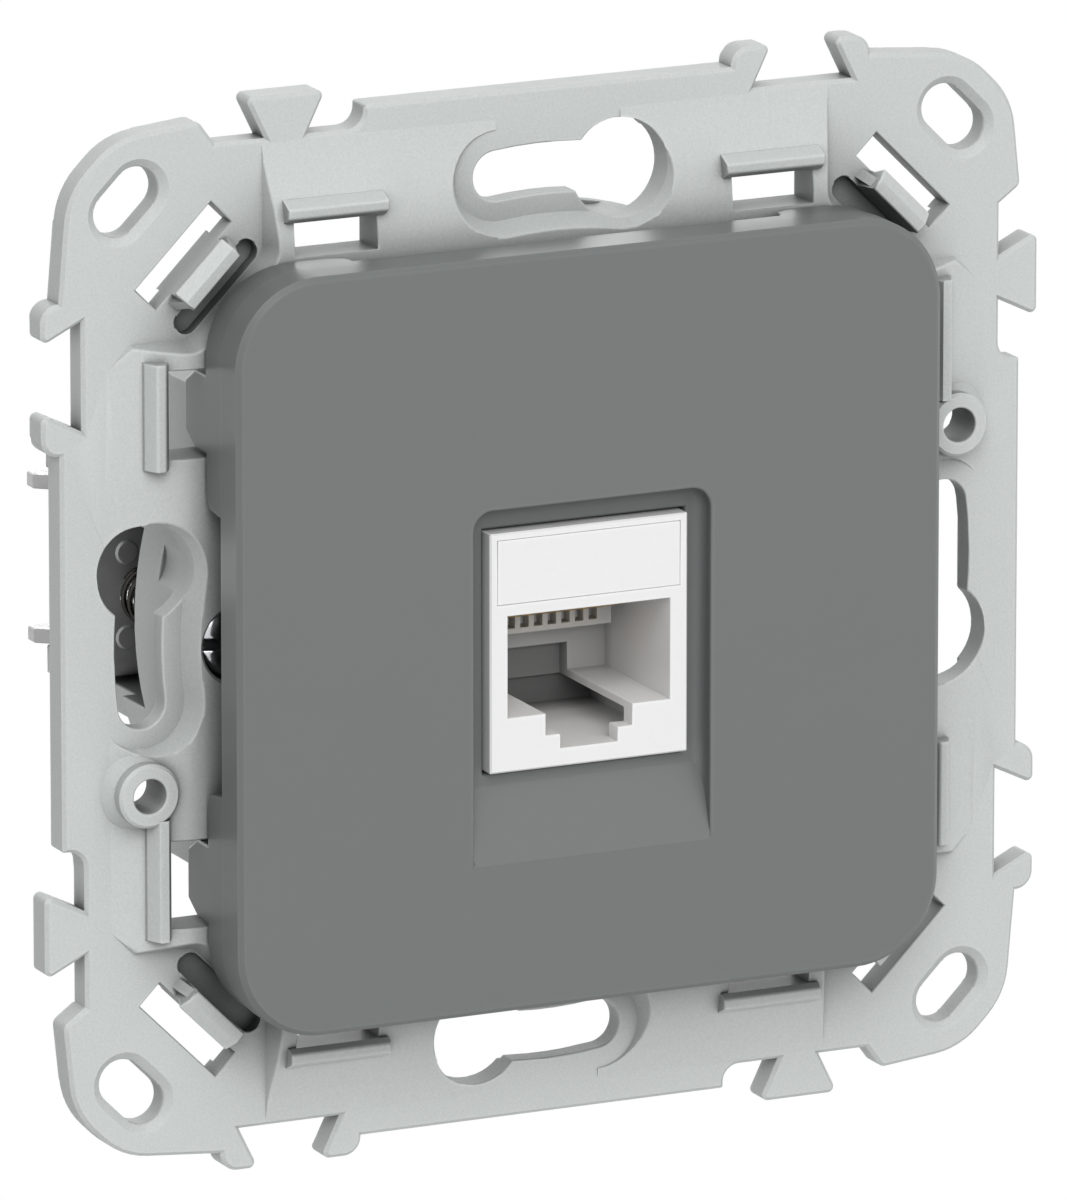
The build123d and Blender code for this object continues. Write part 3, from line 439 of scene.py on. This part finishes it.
# The hollow factors paint shade into recesses, the edge factors paint a highlight on outer edges and the
# rear factor paints shade towards the back of the insert.
FRAME_PLASTIC = MouldedPlastic("pale grey frame", linear(204, 208, 207), Surface.ERODED, 0.012,
                               painted_hollow_shade=0.08, reach=10 * MM, speckle=0.05, edge=1.12)
COVER_PLASTIC = MouldedPlastic("dark grey cover", linear(111, 115, 114), Surface.MATT, 0.006,
                               edge=1.3)
JACK_PLASTIC = MouldedPlastic("white insert", linear(240, 240, 240), Surface.SATIN, 0.004,
                              painted_hollow_shade=0.76, rear=0.22)
LABEL_PLASTIC = MouldedPlastic("white label", linear(240, 240, 240), Surface.POLISHED, 0.003, painted_hollow_shade=0.9)
COMB_PLASTIC = MouldedPlastic("grey comb", linear(206, 206, 205), Surface.SATIN, 0.01, painted_hollow_shade=0.8)
BLOCK_PLASTIC = MouldedPlastic("white block", linear(230, 230, 228), Surface.SATIN, 0.01)
CAP_PLASTIC = MouldedPlastic("smoke cap", linear(206, 207, 205), Surface.SATIN, 0.01)
HOLDER_PLASTIC = MouldedPlastic("grey holder", linear(150, 153, 152), Surface.MATT, 0.015)
ZINC = PlatedSteel("zinc plate", linear(178, 179, 178), 0.4, (1.0, 0.12, 1.0), metal=0.5)
CHROME = PlatedSteel("bright plate", linear(214, 215, 218), 0.16, (1.0, 0.2, 1.0), 0.0000008)
SPRING_STEEL = PlatedSteel("dark spring wire", linear(66, 64, 62), 0.26)
GOLD = PlatedSteel("gold plate", linear(236, 196, 112), 0.22, (1.0, 0.15, 1.0), 0.0000006)
TIN = PlatedSteel("tin plate", linear(208, 208, 204), 0.3, (1.0, 0.15, 1.0))
BOARD_LACQUER = LacqueredBoard()


def dress(piece: bpy.types.Object, finish: Finish) -> None:
    """Gives a piece its finish.

    Args:
        piece: The piece.
        finish: One of the finishes above.
    """
    made = bpy.data.materials.get(finish.name) or finish.material()
    piece.data.materials.clear()
    piece.data.materials.append(made)


def link(name: str, mesh: bpy.types.Mesh) -> bpy.types.Object:
    """Puts a mesh into the scene.

    Args:
        name: Name of the piece.
        mesh: Its mesh.

    Returns:
        The new piece.
    """
    piece = bpy.data.objects.new(name, mesh)
    bpy.context.scene.collection.objects.link(piece)
    return piece


def place_mesh(name: str, work: bmesh.types.BMesh) -> bpy.types.Object:
    """Puts an editable mesh into the scene.

    Args:
        name: Name of the piece and of its mesh.
        work: The editable mesh, which is used up.

    Returns:
        The new piece.
    """
    mesh = bpy.data.meshes.new(name)
    work.to_mesh(mesh)
    work.free()
    return link(name, mesh)


def finished_mesh(piece: bpy.types.Object) -> bpy.types.Mesh:
    """New mesh of a piece with its modifiers carried out."""
    return bpy.data.meshes.new_from_object(piece.evaluated_get(bpy.context.evaluated_depsgraph_get()))


def clean_copy(node: str) -> bmesh.types.BMesh:
    """Copy of a solid's surface, joined at its seams.

    Args:
        node: Name of the solid.

    Returns:
        The copy as an editable mesh.
    """
    work = bmesh.new()
    work.from_mesh(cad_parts[node].data)
    for layers in (work.loops.layers.uv, work.loops.layers.color):
        for layer in list(layers.values()):
            layers.remove(layer)
    bmesh.ops.remove_doubles(work, verts=work.verts, dist=SEAM)
    bmesh.ops.dissolve_degenerate(work, dist=SLIVER, edges=work.edges)
    return work


def flatten(work: bmesh.types.BMesh) -> None:
    """Joins the facets of each flat face, as far as the face stays convex.

    Args:
        work: The editable mesh.
    """
    bmesh.ops.dissolve_limit(work, angle_limit=FLAT, verts=[], edges=work.edges, delimit=set())
    bmesh.ops.connect_verts_concave(work, faces=[face for face in work.faces if len(face.verts) > 4])
    for face in work.faces:
        face.smooth = True


def skin(node: str, work: bmesh.types.BMesh, turn: float) -> bpy.types.Object:
    """Puts the mesh that stands for a solid into the scene, smooth apart from its sharp edges.

    Args:
        node: Name of the solid.
        work: The editable mesh, which is used up.
        turn: Angle from which an edge is sharp.

    Returns:
        The new piece.
    """
    piece = place_mesh(node + "_skin", work)
    for layer_name in STALE_LAYERS:
        layer = piece.data.attributes.get(layer_name)
        if layer is not None:
            piece.data.attributes.remove(layer)
    piece.data.set_sharp_from_angle(angle=turn)
    return piece


@dataclass(frozen=True)
class Rounding:
    """Small round that a mould or a press leaves on outer edges, where both faces have room for it.

    The edges get a share of the width. Room is the length of face that a round needs, in widths,
    and slack is how far a point may stand off the surface. A corner of the rounded piece is folded
    where it stands off by more than the share cut_deep of the width, or where a facet's normal
    agrees with the surface by less than agree.
    """

    width: float
    steps: int = 2
    turn: float = math.radians(50)
    shares: tuple[float, ...] = (1.0, 0.6, 0.3)
    room: float = 2.1
    same_face: float = 0.9
    slack: float = 0.012 * MM
    cut_deep: float = 0.45
    agree: float = 0.2
    speck: float = 1e-11
    around: float = 1.1
    near: float = 0.05 * MM
    passes: int = 8

    def weigh(self, work: bmesh.types.BMesh) -> None:
        """Marks each outer edge with the share of the width that fits there.

        Args:
            work: The editable mesh.
        """
        work.normal_update()
        tree = BVHTree.FromBMesh(work)
        layer = work.edges.layers.float.new(WEIGHT_LAYER)
        for edge in work.edges:
            if len(edge.link_faces) != 2 or edge.calc_face_angle_signed() < self.turn:
                continue
            for share in self.shares:
                if all(self.fits(tree, loop, share) for loop in edge.link_loops):
                    edge[layer] = share
                    break

    def fits(self, tree: BVHTree, loop: bmesh.types.BMLoop, share: float) -> bool:
        """Tells whether the surface beside an edge runs on far enough for the round.

        Args:
            tree: Search tree of the surface.
            loop: The edge's side on one of its two faces.
            share: Share of the full width.

        Returns:
            True where there is room.
        """
        start, end = loop.vert.co, loop.link_loop_next.vert.co
        inward = loop.face.normal.cross(end - start).normalized()
        probe = (start + end) / 2 + inward * self.room * share * self.width
        _place, normal, _index, gap = tree.find_nearest(probe)
        return gap < self.slack and normal.dot(loop.face.normal) > self.same_face

    def put_on(self, piece: bpy.types.Object) -> None:
        """Rounds the marked edges of a piece, narrower where the full round would fold.

        Args:
            piece: The piece.
        """
        bevel = piece.modifiers.new("edges", "BEVEL")
        bevel.width = self.width
        bevel.segments = self.steps
        bevel.limit_method = "WEIGHT"
        bevel.use_clamp_overlap = False
        bevel.miter_outer = "MITER_ARC"
        tree = BVHTree.FromPolygons([vert.co for vert in piece.data.vertices],
                                    [face.vertices for face in piece.data.polygons])
        folds = self.folds(piece, tree)
        for tries in range(self.passes):
            keep = 0.5 if tries < self.passes / 2 else 0.0
            if not len(folds) or not self.ease(piece, folds, keep):
                break
            folds = self.folds(piece, tree)
        LOG.info("%s: %d folds left", piece.name, len(folds))
        made = finished_mesh(piece)
        piece.modifiers.remove(bevel)
        work = bmesh.new()
        work.from_mesh(made)
        bmesh.ops.triangulate(work, faces=work.faces)
        work.to_mesh(made)
        work.free()
        piece.data = made

    def folds(self, piece: bpy.types.Object, tree: BVHTree) -> np.ndarray:
        """Corners of the rounded piece that leave its surface or turn over.

        Args:
            piece: The piece.
            tree: Search tree of the surface before the rounding.

        Returns:
            Places of those corners.
        """
        made = piece.evaluated_get(bpy.context.evaluated_depsgraph_get()).to_mesh()
        made.calc_loop_triangles()
        deepest = self.cut_deep * self.width + self.slack
        bad = {}
        for vert in made.vertices:
            if tree.find_nearest(vert.co)[3] > deepest:
                bad[vert.index] = vert.co.copy()
        for facet in made.loop_triangles:
            if facet.area < self.speck:
                continue
            corners = [made.vertices[index].co for index in facet.vertices]
            middle = (corners[0] + corners[1] + corners[2]) / 3
            _place, normal, _index, gap = tree.find_nearest(middle)
            if gap > deepest or normal.dot(facet.normal) < self.agree:
                for index, corner in zip(facet.vertices, corners):
                    bad[index] = corner.copy()
        return np.array([tuple(place) for place in bad.values()])

    def ease(self, piece: bpy.types.Object, folds: np.ndarray, keep: float) -> bool:
        """Narrows the round of the edges beside folded corners.

        Args:
            piece: The piece.
            folds: Places of the folded corners.
            keep: Share of the width that such an edge keeps.

        Returns:
            True if an edge was changed.
        """
        mesh = piece.data
        weights = mesh.attributes[WEIGHT_LAYER].data
        marked = [edge for edge in mesh.edges if weights[edge.index].value > 0]
        start = np.array([tuple(mesh.vertices[edge.vertices[0]].co) for edge in marked])
        along = np.array([tuple(mesh.vertices[edge.vertices[1]].co) for edge in marked]) - start
        length = (along ** 2).sum(axis=1)
        touched = np.zeros(len(marked), dtype=bool)
        for place in folds:
            share = np.clip(((place - start) * along).sum(axis=1) / length, 0, 1)
            gap = np.linalg.norm(start + along * share[:, None] - place, axis=1)
            touched |= gap < self.width * self.around + self.near
        for edge in (marked[index] for index in np.flatnonzero(touched)):
            value = weights[edge.index].value
            weights[edge.index].value = value * keep if value > 0.3 else 0.0
        mesh.update()
        return bool(touched.any())


class TrueShading:
    """Normals of a solid's exact surfaces, carried over to its rounded copy."""

    flat: float = math.cos(math.radians(1.2))
    blend: float = math.cos(math.radians(60))
    touch: float = 0.004 * MM
    far: float = 0.09 * MM
    pull: float = 0.12

    def __init__(self, node: str) -> None:
        """Reads the normals of a solid.

        Args:
            node: Name of the solid.
        """
        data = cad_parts[node].data
        self.places = [vert.co.copy() for vert in data.vertices]
        self.faces = [tuple(face.vertices) for face in data.polygons]
        corners = [corner.vector.copy() for corner in data.corner_normals]
        self.corners = [[corners[index] for index in face.loop_indices] for face in data.polygons]
        self.tree = BVHTree.FromPolygons(self.places, self.faces)

    def at(self, place: Vector) -> Vector:
        """Normal of the exact surface at a place on it."""
        near, _normal, index, _gap = self.tree.find_nearest(place)
        shares = poly_3d_calc([self.places[corner] for corner in self.faces[index]], near)
        total = Vector()
        for share, corner in zip(shares, self.corners[index]):
            total += corner * share
        return total.normalized()

    def put_on(self, mesh: bpy.types.Mesh) -> None:
        """Gives the normals to a rounded copy; its rounds blend from one face to the next.

        What lies far from the solid is a form that was added, and stays flat.

        Args:
            mesh: The copy, made of triangles.
        """
        normals = [Vector()] * len(mesh.loops)
        kept = [[] for _vert in mesh.vertices]
        rounds = []
        sums = [Vector() for _vert in mesh.vertices]
        for face in mesh.polygons:
            _place, normal, _index, gap = self.tree.find_nearest(face.center)
            if gap > self.far:
                for corner in face.loop_indices:
                    normals[corner] = face.normal.copy()
                continue
            if gap > self.touch or normal.dot(face.normal) < self.flat:
                rounds.append(face)
                for index in face.vertices:
                    sums[index] += face.normal * face.area
                continue
            for corner, index in zip(face.loop_indices, face.vertices):
                place = mesh.vertices[index].co
                normals[corner] = self.at(place + (face.center - place) * self.pull)
                kept[index].append(normals[corner])
        for face in rounds:
            for corner, index in zip(face.loop_indices, face.vertices):
                beside = [normal for normal in kept[index] if normal.dot(face.normal) > self.blend]
                total = sum(beside, Vector()) if beside else sums[index]
                normals[corner] = total.normalized() if total.length else face.normal
        mesh.normals_split_custom_set(normals)


@dataclass
class MouldedPiece:
    """A moulded or stamped solid with its small edges rounded off, as a real one leaves its tool."""

    node: str
    body: str
    finish: Finish
    slot: str
    rounding: Rounding
    shape: Callable[[bmesh.types.BMesh], bmesh.types.BMesh] | None = None

    def build(self) -> None:
        """Makes the piece, rounds its edges and lets it stand for its solid."""
        work = clean_copy(self.node)
        if self.shape:
            work = self.shape(work)
        flatten(work)
        self.rounding.weigh(work)
        piece = skin(self.node, work, self.rounding.turn)
        self.rounding.put_on(piece)
        TrueShading(self.node).put_on(piece.data)
        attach(piece, self.body)
        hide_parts(self.node)
        dress(piece, self.finish)
        LOG.info("%s on %s", piece.name, self.body)


def add_block(work: bmesh.types.BMesh, low: tuple[float, float, float],
              high: tuple[float, float, float]) -> None:
    """Adds a block to a mesh.

    Args:
        work: The editable mesh.
        low: Its lowest corner in millimetres.
        high: Its highest corner in millimetres.
    """
    made = bmesh.ops.create_cube(work, size=1.0)
    for vert in made["verts"]:
        vert.co = Vector([(near + far) / 2 + share * (far - near)
                          for near, far, share in zip(low, high, vert.co)]) * MM


def combine(base: bmesh.types.BMesh, tool: bmesh.types.BMesh, joining: Joining) -> bmesh.types.BMesh:
    """Cuts one closed mesh with another, or welds them.

    Args:
        base: Mesh that is changed; used up.
        tool: The other mesh; used up.
        joining: Whether it cuts or welds.

    Returns:
        The result as an editable mesh.
    """
    pieces = [place_mesh("base", base), place_mesh("tool", tool)]
    step = pieces[0].modifiers.new("combine", "BOOLEAN")
    step.operation = joining.value
    step.object = pieces[1]
    step.solver = "EXACT"
    step.use_self = True
    result = bmesh.new()
    result.from_mesh(finished_mesh(pieces[0]))
    for piece in pieces:
        bpy.data.objects.remove(piece)
    return result


def close_rings(work: bmesh.types.BMesh, rings: list[list[bmesh.types.BMVert]]) -> None:
    """Joins rings of corners into a smooth tube with flat ends.

    Args:
        work: The editable mesh.
        rings: Its rings, each with as many corners as the others.
    """
    for near, far in zip(rings, rings[1:]):
        for step in range(len(near)):
            after = (step + 1) % len(near)
            face = work.faces.new((near[step], near[after], far[after], far[step]))
            face.smooth = True
    work.faces.new(rings[0][::-1])
    work.faces.new(rings[-1])


@dataclass
class SupportFrame:
    """Pale grey frame with its dovetails, screw slots, collar and claw guides; lengths in millimetres."""

    rounding: Rounding = Rounding(0.15 * MM, 3)
    collar_half: float = 18.6
    collar_side: float = 19.5
    collar_tall: float = 9.0
    collar_short: float = 3.0
    collar_deep: float = 9.4
    corner_x: float = 24.15
    corner_z: float = 16.6
    corner_in: tuple[float, float] = (20.6, 11.3)
    wall: float = 1.0
    root: float = -0.5

    def build(self) -> None:
        """Makes the frame."""
        MouldedPiece("support_frame", "frame", FRAME_PLASTIC, "frame_plastic", self.rounding,
                     self.rear).build()

    def rear(self, work: bmesh.types.BMesh) -> bmesh.types.BMesh:
        """Gives the rear what the side windows and the top slots show.

        The collar is shorter above and below, and a rib with a corner stands behind each window.

        Args:
            work: The frame.

        Returns:
            The finished frame.
        """
        cuts, ribs = bmesh.new(), bmesh.new()
        for up in (-1, 1):
            low, high = sorted((up * self.collar_side, up * (self.collar_side + self.collar_tall)))
            add_block(cuts, (-self.collar_half, self.collar_short, low),
                      (self.collar_half, self.collar_deep + 1, high))
            for side in (-1, 1):
                near, far = sorted((side * (self.corner_x - self.wall), side * self.corner_x))
                low, high = sorted((up * self.corner_in[1], up * (self.corner_z - self.wall / 2)))
                add_block(ribs, (near, self.root, low), (far, self.collar_deep, high))
                near, far = sorted((side * self.corner_in[0], side * self.corner_x))
                low, high = sorted((up * (self.corner_z - self.wall), up * self.corner_z))
                add_block(ribs, (near, self.root, low), (far, self.collar_deep, high))
        return combine(combine(work, cuts, Joining.CUT), ribs, Joining.WELD)


@dataclass
class CentrePlate:
    """Dark grey cover."""

    rounding: Rounding = Rounding(0.2 * MM, 3)

    def build(self) -> None:
        """Makes the cover."""
        MouldedPiece("centre_plate", "frame", COVER_PLASTIC, "cover_plastic", self.rounding).build()


@dataclass
class Jack:
    """White insert with its label, its contacts and what closes it behind."""

    fine: Rounding = Rounding(0.04 * MM)
    small: Rounding = Rounding(0.07 * MM)
    soft: Rounding = Rounding(0.12 * MM, 3)
    fill: float = 0.085 * MM
    contacts: int = 8

    def build(self) -> None:
        """Makes the insert and everything on it."""
        fixed = (
            ("jack_housing", JACK_PLASTIC, "jack_plastic", self.small),
            ("label_window", LABEL_PLASTIC, "label_plastic", self.small),
            ("contact_comb", COMB_PLASTIC, "comb_plastic", self.fine),
            ("contact_legs", GOLD, "contact_metal", self.fine),
            ("jack_board", BOARD_LACQUER, "board", self.fine),
            ("terminal_block", BLOCK_PLASTIC, "block_plastic", self.soft),
            ("wire_cap", CAP_PLASTIC, "cap_plastic", self.soft),
            ("module_holder", HOLDER_PLASTIC, "holder_plastic", self.soft),
        )
        for node, finish, slot, rounding in fixed:
            shape = self.snug if node == "label_window" else None
            MouldedPiece(node, "frame", finish, slot, rounding, shape).build()
        for number in range(1, self.contacts + 1):
            arm = f"spring_contact_{number}"
            MouldedPiece(arm, "contacts", GOLD, "contact_metal", self.fine).build()
            blade = f"wire_terminal_{number}"
            MouldedPiece(blade, "frame", TIN, "terminal_metal", self.fine).build()

    def snug(self, work: bmesh.types.BMesh) -> bmesh.types.BMesh:
        """Lets the label nearly fill its opening, so that only a fine line is left round it.

        Args:
            work: The label.

        Returns:
            The label.
        """
        low = Vector([min(vert.co[axis] for vert in work.verts) for axis in range(3)])
        high = Vector([max(vert.co[axis] for vert in work.verts) for axis in range(3)])
        middle = (low + high) / 2
        for vert in work.verts:
            for axis in (0, 2):
                vert.co[axis] += math.copysign(self.fill, vert.co[axis] - middle[axis])
        return work


@dataclass
class ClawSet:
    """Claw of one side with its screw and its return spring.

    The thread's crest, its floor and each flank take the share quarter of the pitch. The wire's
    turns count the closed one at each end, where it climbs by closed_step of its own thickness.
    """

    side: Side
    axis_x: float = 23.2 * MM
    head_long: float = 3.2 * MM
    head_overlap: float = 0.3 * MM
    shank_r: float = 1.5 * MM
    thread_depth: float = 0.3 * MM
    pitch: float = 0.75 * MM
    quarter: float = 0.25
    pitch_steps: int = 8
    around: int = 32
    lead_long: float = 0.5 * MM
    lead_share: float = 0.28
    crest_turn: float = math.radians(35)
    wire_r: float = 0.21 * MM
    wire_sides: int = 10
    coil_r: float = 1.88 * MM
    turns: float = 10.4
    closed: float = 1.0
    closed_step: float = 1.02
    turn_steps: int = 28
    travel: float = 4.5 * MM
    tilt: float = 0.9 * MM
    sheet: Rounding = Rounding(0.12 * MM, 3)
    turned: Rounding = Rounding(0.1 * MM, 3)

    def build(self) -> None:
        """Makes the claw, the screw and the spring."""
        word = self.side.word
        MouldedPiece(f"{word}_claw", f"{word}_claw", ZINC, "claw_steel", self.sheet).build()
        self.screw()
        self.spring()

    def centre(self) -> float:
        """Place of the screw's axis across the frame."""
        return self.side.value * self.axis_x

    def screw(self) -> None:
        """Makes the screw: its own head, and a shank with a real thread."""
        word = self.side.word
        node = f"{word}_claw_screw"
        low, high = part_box(node)
        neck = low.y + self.head_long
        work = clean_copy(node)
        flatten(work)
        bmesh.ops.bisect_plane(
            work, geom=work.verts[:] + work.edges[:] + work.faces[:], plane_co=(0, neck, 0),
            plane_no=(0, 1, 0), clear_outer=True)
        bmesh.ops.holes_fill(work, edges=[edge for edge in work.edges if edge.is_boundary])
        bmesh.ops.recalc_face_normals(work, faces=work.faces)
        self.turned.weigh(work)
        self.thread(work, neck - self.head_overlap, high.y)
        piece = skin(node, work, self.turned.turn)
        self.turned.put_on(piece)
        piece.data.set_sharp_from_angle(angle=self.crest_turn)
        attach(piece, f"{word}_screw")
        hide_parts(node)
        dress(piece, CHROME)
        LOG.info("%s with thread", piece.name)

    def thread(self, work: bmesh.types.BMesh, start: float, end: float) -> None:
        """Adds a threaded shank to a mesh.

        Args:
            work: Mesh that takes the shank.
            start: Place of the front end along +Y.
            end: Place of the tip along +Y.
        """
        count = round((end - start) / self.pitch * self.pitch_steps)
        rings = []
        for index in range(count + 1):
            along = start + (end - start) * index / count
            lead = min(1.0, (end - along) / self.lead_long)
            ring = []
            for step in range(self.around):
                angle = 2 * math.pi * step / self.around
                phase = (along / self.pitch + step / self.around) % 1.0
                flank = (1.5 * self.quarter - abs(phase - 0.5)) / self.quarter
                dip = min(1.0, max(0.0, flank)) * self.thread_depth
                reach = (self.shank_r - dip) * (1 - self.lead_share + self.lead_share * lead)
                ring.append(work.verts.new((
                    self.centre() + reach * math.cos(angle), along, reach * math.sin(angle))))
            rings.append(ring)
        close_rings(work, rings)

    def climb(self, turn: float, front: float, back: float) -> float:
        """Place of the wire along +Y after a number of turns.

        Args:
            turn: The number of turns.
            front: Place of its front end.
            back: Place of its rear end.

        Returns:
            The place.
        """
        step = 2 * self.wire_r * self.closed_step
        if turn < self.closed:
            return front + step * turn
        if turn > self.turns - self.closed:
            return back - step * (self.turns - turn)
        share = (turn - self.closed) / (self.turns - 2 * self.closed)
        return front + step * self.closed + share * (back - front - 2 * step * self.closed)

    def spring(self) -> None:
        """Makes the return spring: a round wire with closed ends."""
        word = self.side.word
        node = f"{word}_claw_spring"
        low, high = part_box(node)
        front, back = low.y + self.wire_r, high.y - self.wire_r
        forward = Vector((0, 1, 0))
        count = round(self.turns * self.turn_steps)
        work = bmesh.new()
        rings = []
        for index in range(count + 1):
            turn = self.turns * index / count
            angle = 2 * math.pi * turn
            out = Vector((math.cos(angle), 0, math.sin(angle)))
            middle = Vector((self.centre(), self.climb(turn, front, back), 0)) + out * self.coil_r
            ring = []
            for step in range(self.wire_sides):
                about = 2 * math.pi * step / self.wire_sides
                place = middle + (out * math.cos(about) + forward * math.sin(about)) * self.wire_r
                ring.append(work.verts.new(place))
            rings.append(ring)
        close_rings(work, rings)
        bmesh.ops.recalc_face_normals(work, faces=work.faces)
        piece = place_mesh(node + "_coil", work)
        dress(piece, SPRING_STEEL)
        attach(piece, "frame")
        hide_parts(node)
        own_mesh(piece)
        LOG.info("%s of %.1f turns", piece.name, self.turns)


@dataclass(frozen=True)
class Lamp:
    """Soft square lamp aimed at the object: its place and side in metres, its power in watts."""

    name: str
    place: tuple[float, float, float]
    size: float
    power: float

    def hang(self) -> None:
        """Puts the lamp up, out of the camera's sight."""
        light = bpy.data.lights.new(self.name, "AREA")
        light.size = self.size
        light.energy = self.power
        lamp = bpy.data.objects.new(self.name, light)
        lamp.visible_camera = False
        lamp.location = self.place
        lamp.rotation_euler = (-Vector(self.place)).to_track_quat("-Z", "Y").to_euler()
        bpy.context.scene.collection.objects.link(lamp)


@dataclass
class Studio:
    """White background, pale floor, soft light and the camera of the photograph."""

    floor_z: float = -0.30
    floor_half: float = 0.45
    floor_cells: int = 8
    floor_cloud: float = 0.05
    ambient: float = 0.46
    behind: float = 0.1
    ambient_span: tuple[float, float] = (-0.3, 0.5)
    lamps: tuple[Lamp, ...] = (
        Lamp("key lamp", (-0.26, -1.1, 0.85), 1.1, 13.2),
        Lamp("fill lamp", (0.9, -0.9, 0.15), 0.7, 0.7),
        Lamp("back lamp", (0.15, 1.35, 0.12), 1.1, 12.0),
    )
    lens: float = 493.0
    distance: float = 1.1029
    target: Vector = field(default_factory=lambda: Vector((-0.984, -2.1, 0.325)) * MM)
    yaw: float = math.radians(-25.25)
    pitch: float = math.radians(14.27)

    def build(self) -> None:
        """Sets up the whole studio."""
        self.world()
        self.floor()
        for lamp in self.lamps:
            lamp.hang()
        self.camera()
        bpy.context.scene.view_settings.view_transform = "Standard"

    def world(self) -> None:
        """White to the eye and in reflections; as a light, soft grey in front and dim behind."""
        world = bpy.data.worlds.new("studio")
        world.use_nodes = True
        tree = world.node_tree
        ground = tree.nodes["Background"]
        ground.inputs["Color"].default_value = (1, 1, 1, 1)
        path = tree.nodes.new("ShaderNodeLightPath")
        seen = path.outputs["Is Camera Ray"]
        for key in ("Is Glossy Ray", "Is Transmission Ray"):
            either = tree.nodes.new("ShaderNodeMath")
            either.operation = "MAXIMUM"
            tree.links.new(seen, either.inputs[0])
            tree.links.new(path.outputs[key], either.inputs[1])
            seen = either.outputs[0]
        way = tree.nodes.new("ShaderNodeTexCoord").outputs["Generated"]
        parts = tree.nodes.new("ShaderNodeSeparateXYZ")
        tree.links.new(way, parts.inputs["Vector"])
        fade = tree.nodes.new("ShaderNodeMapRange")
        tree.links.new(parts.outputs["Y"], fade.inputs["Value"])
        for key, number in zip(("From Min", "From Max", "To Min", "To Max"),
                               (*self.ambient_span, self.ambient, self.behind)):
            fade.inputs[key].default_value = number
        level = tree.nodes.new("ShaderNodeMapRange")
        tree.links.new(seen, level.inputs["Value"])
        tree.links.new(fade.outputs["Result"], level.inputs["To Min"])
        level.inputs["To Max"].default_value = 1.0
        tree.links.new(level.outputs["Result"], ground.inputs["Strength"])
        bpy.context.scene.world = world

    def floor(self) -> None:
        """Pale floor well below the piece, which hangs on a wall in use."""
        work = bmesh.new()
        bmesh.ops.create_grid(work, x_segments=self.floor_cells, y_segments=self.floor_cells,
                              size=self.floor_half)
        floor = place_mesh("floor", work)
        floor.location.z = self.floor_z
        sheet = NodeSheet("pale floor")
        cloud = sheet.noise(self.floor_cloud, 2.0, sheet.body_place())
        sheet.tint(linear(244, 244, 244), sheet.spread(cloud, 0.99, 1.0))
        sheet.put(Roughness=0.8)
        floor.data.materials.append(sheet.material)

    def camera(self) -> None:
        """Camera at the photograph's place."""
        data = bpy.data.cameras.new("camera")
        data.lens = self.lens
        data.clip_start, data.clip_end = 0.05, 20.0
        back = Vector((
            math.sin(self.yaw) * math.cos(self.pitch),
            -math.cos(self.yaw) * math.cos(self.pitch),
            math.sin(self.pitch)))
        camera = bpy.data.objects.new("camera", data)
        camera.location = self.target + back * self.distance
        camera.rotation_euler = (-back).to_track_quat("-Z", "Y").to_euler()
        bpy.context.scene.collection.objects.link(camera)
        bpy.context.scene.camera = camera


def main() -> None:
    """Builds the socket piece by piece."""
    logging.basicConfig(level=logging.INFO, format="%(message)s")
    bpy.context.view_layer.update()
    Studio().build()
    for part in (SupportFrame(), CentrePlate(), Jack(), ClawSet(Side.LEFT), ClawSet(Side.RIGHT)):
        part.build()


if __name__ == "__main__":
    main()
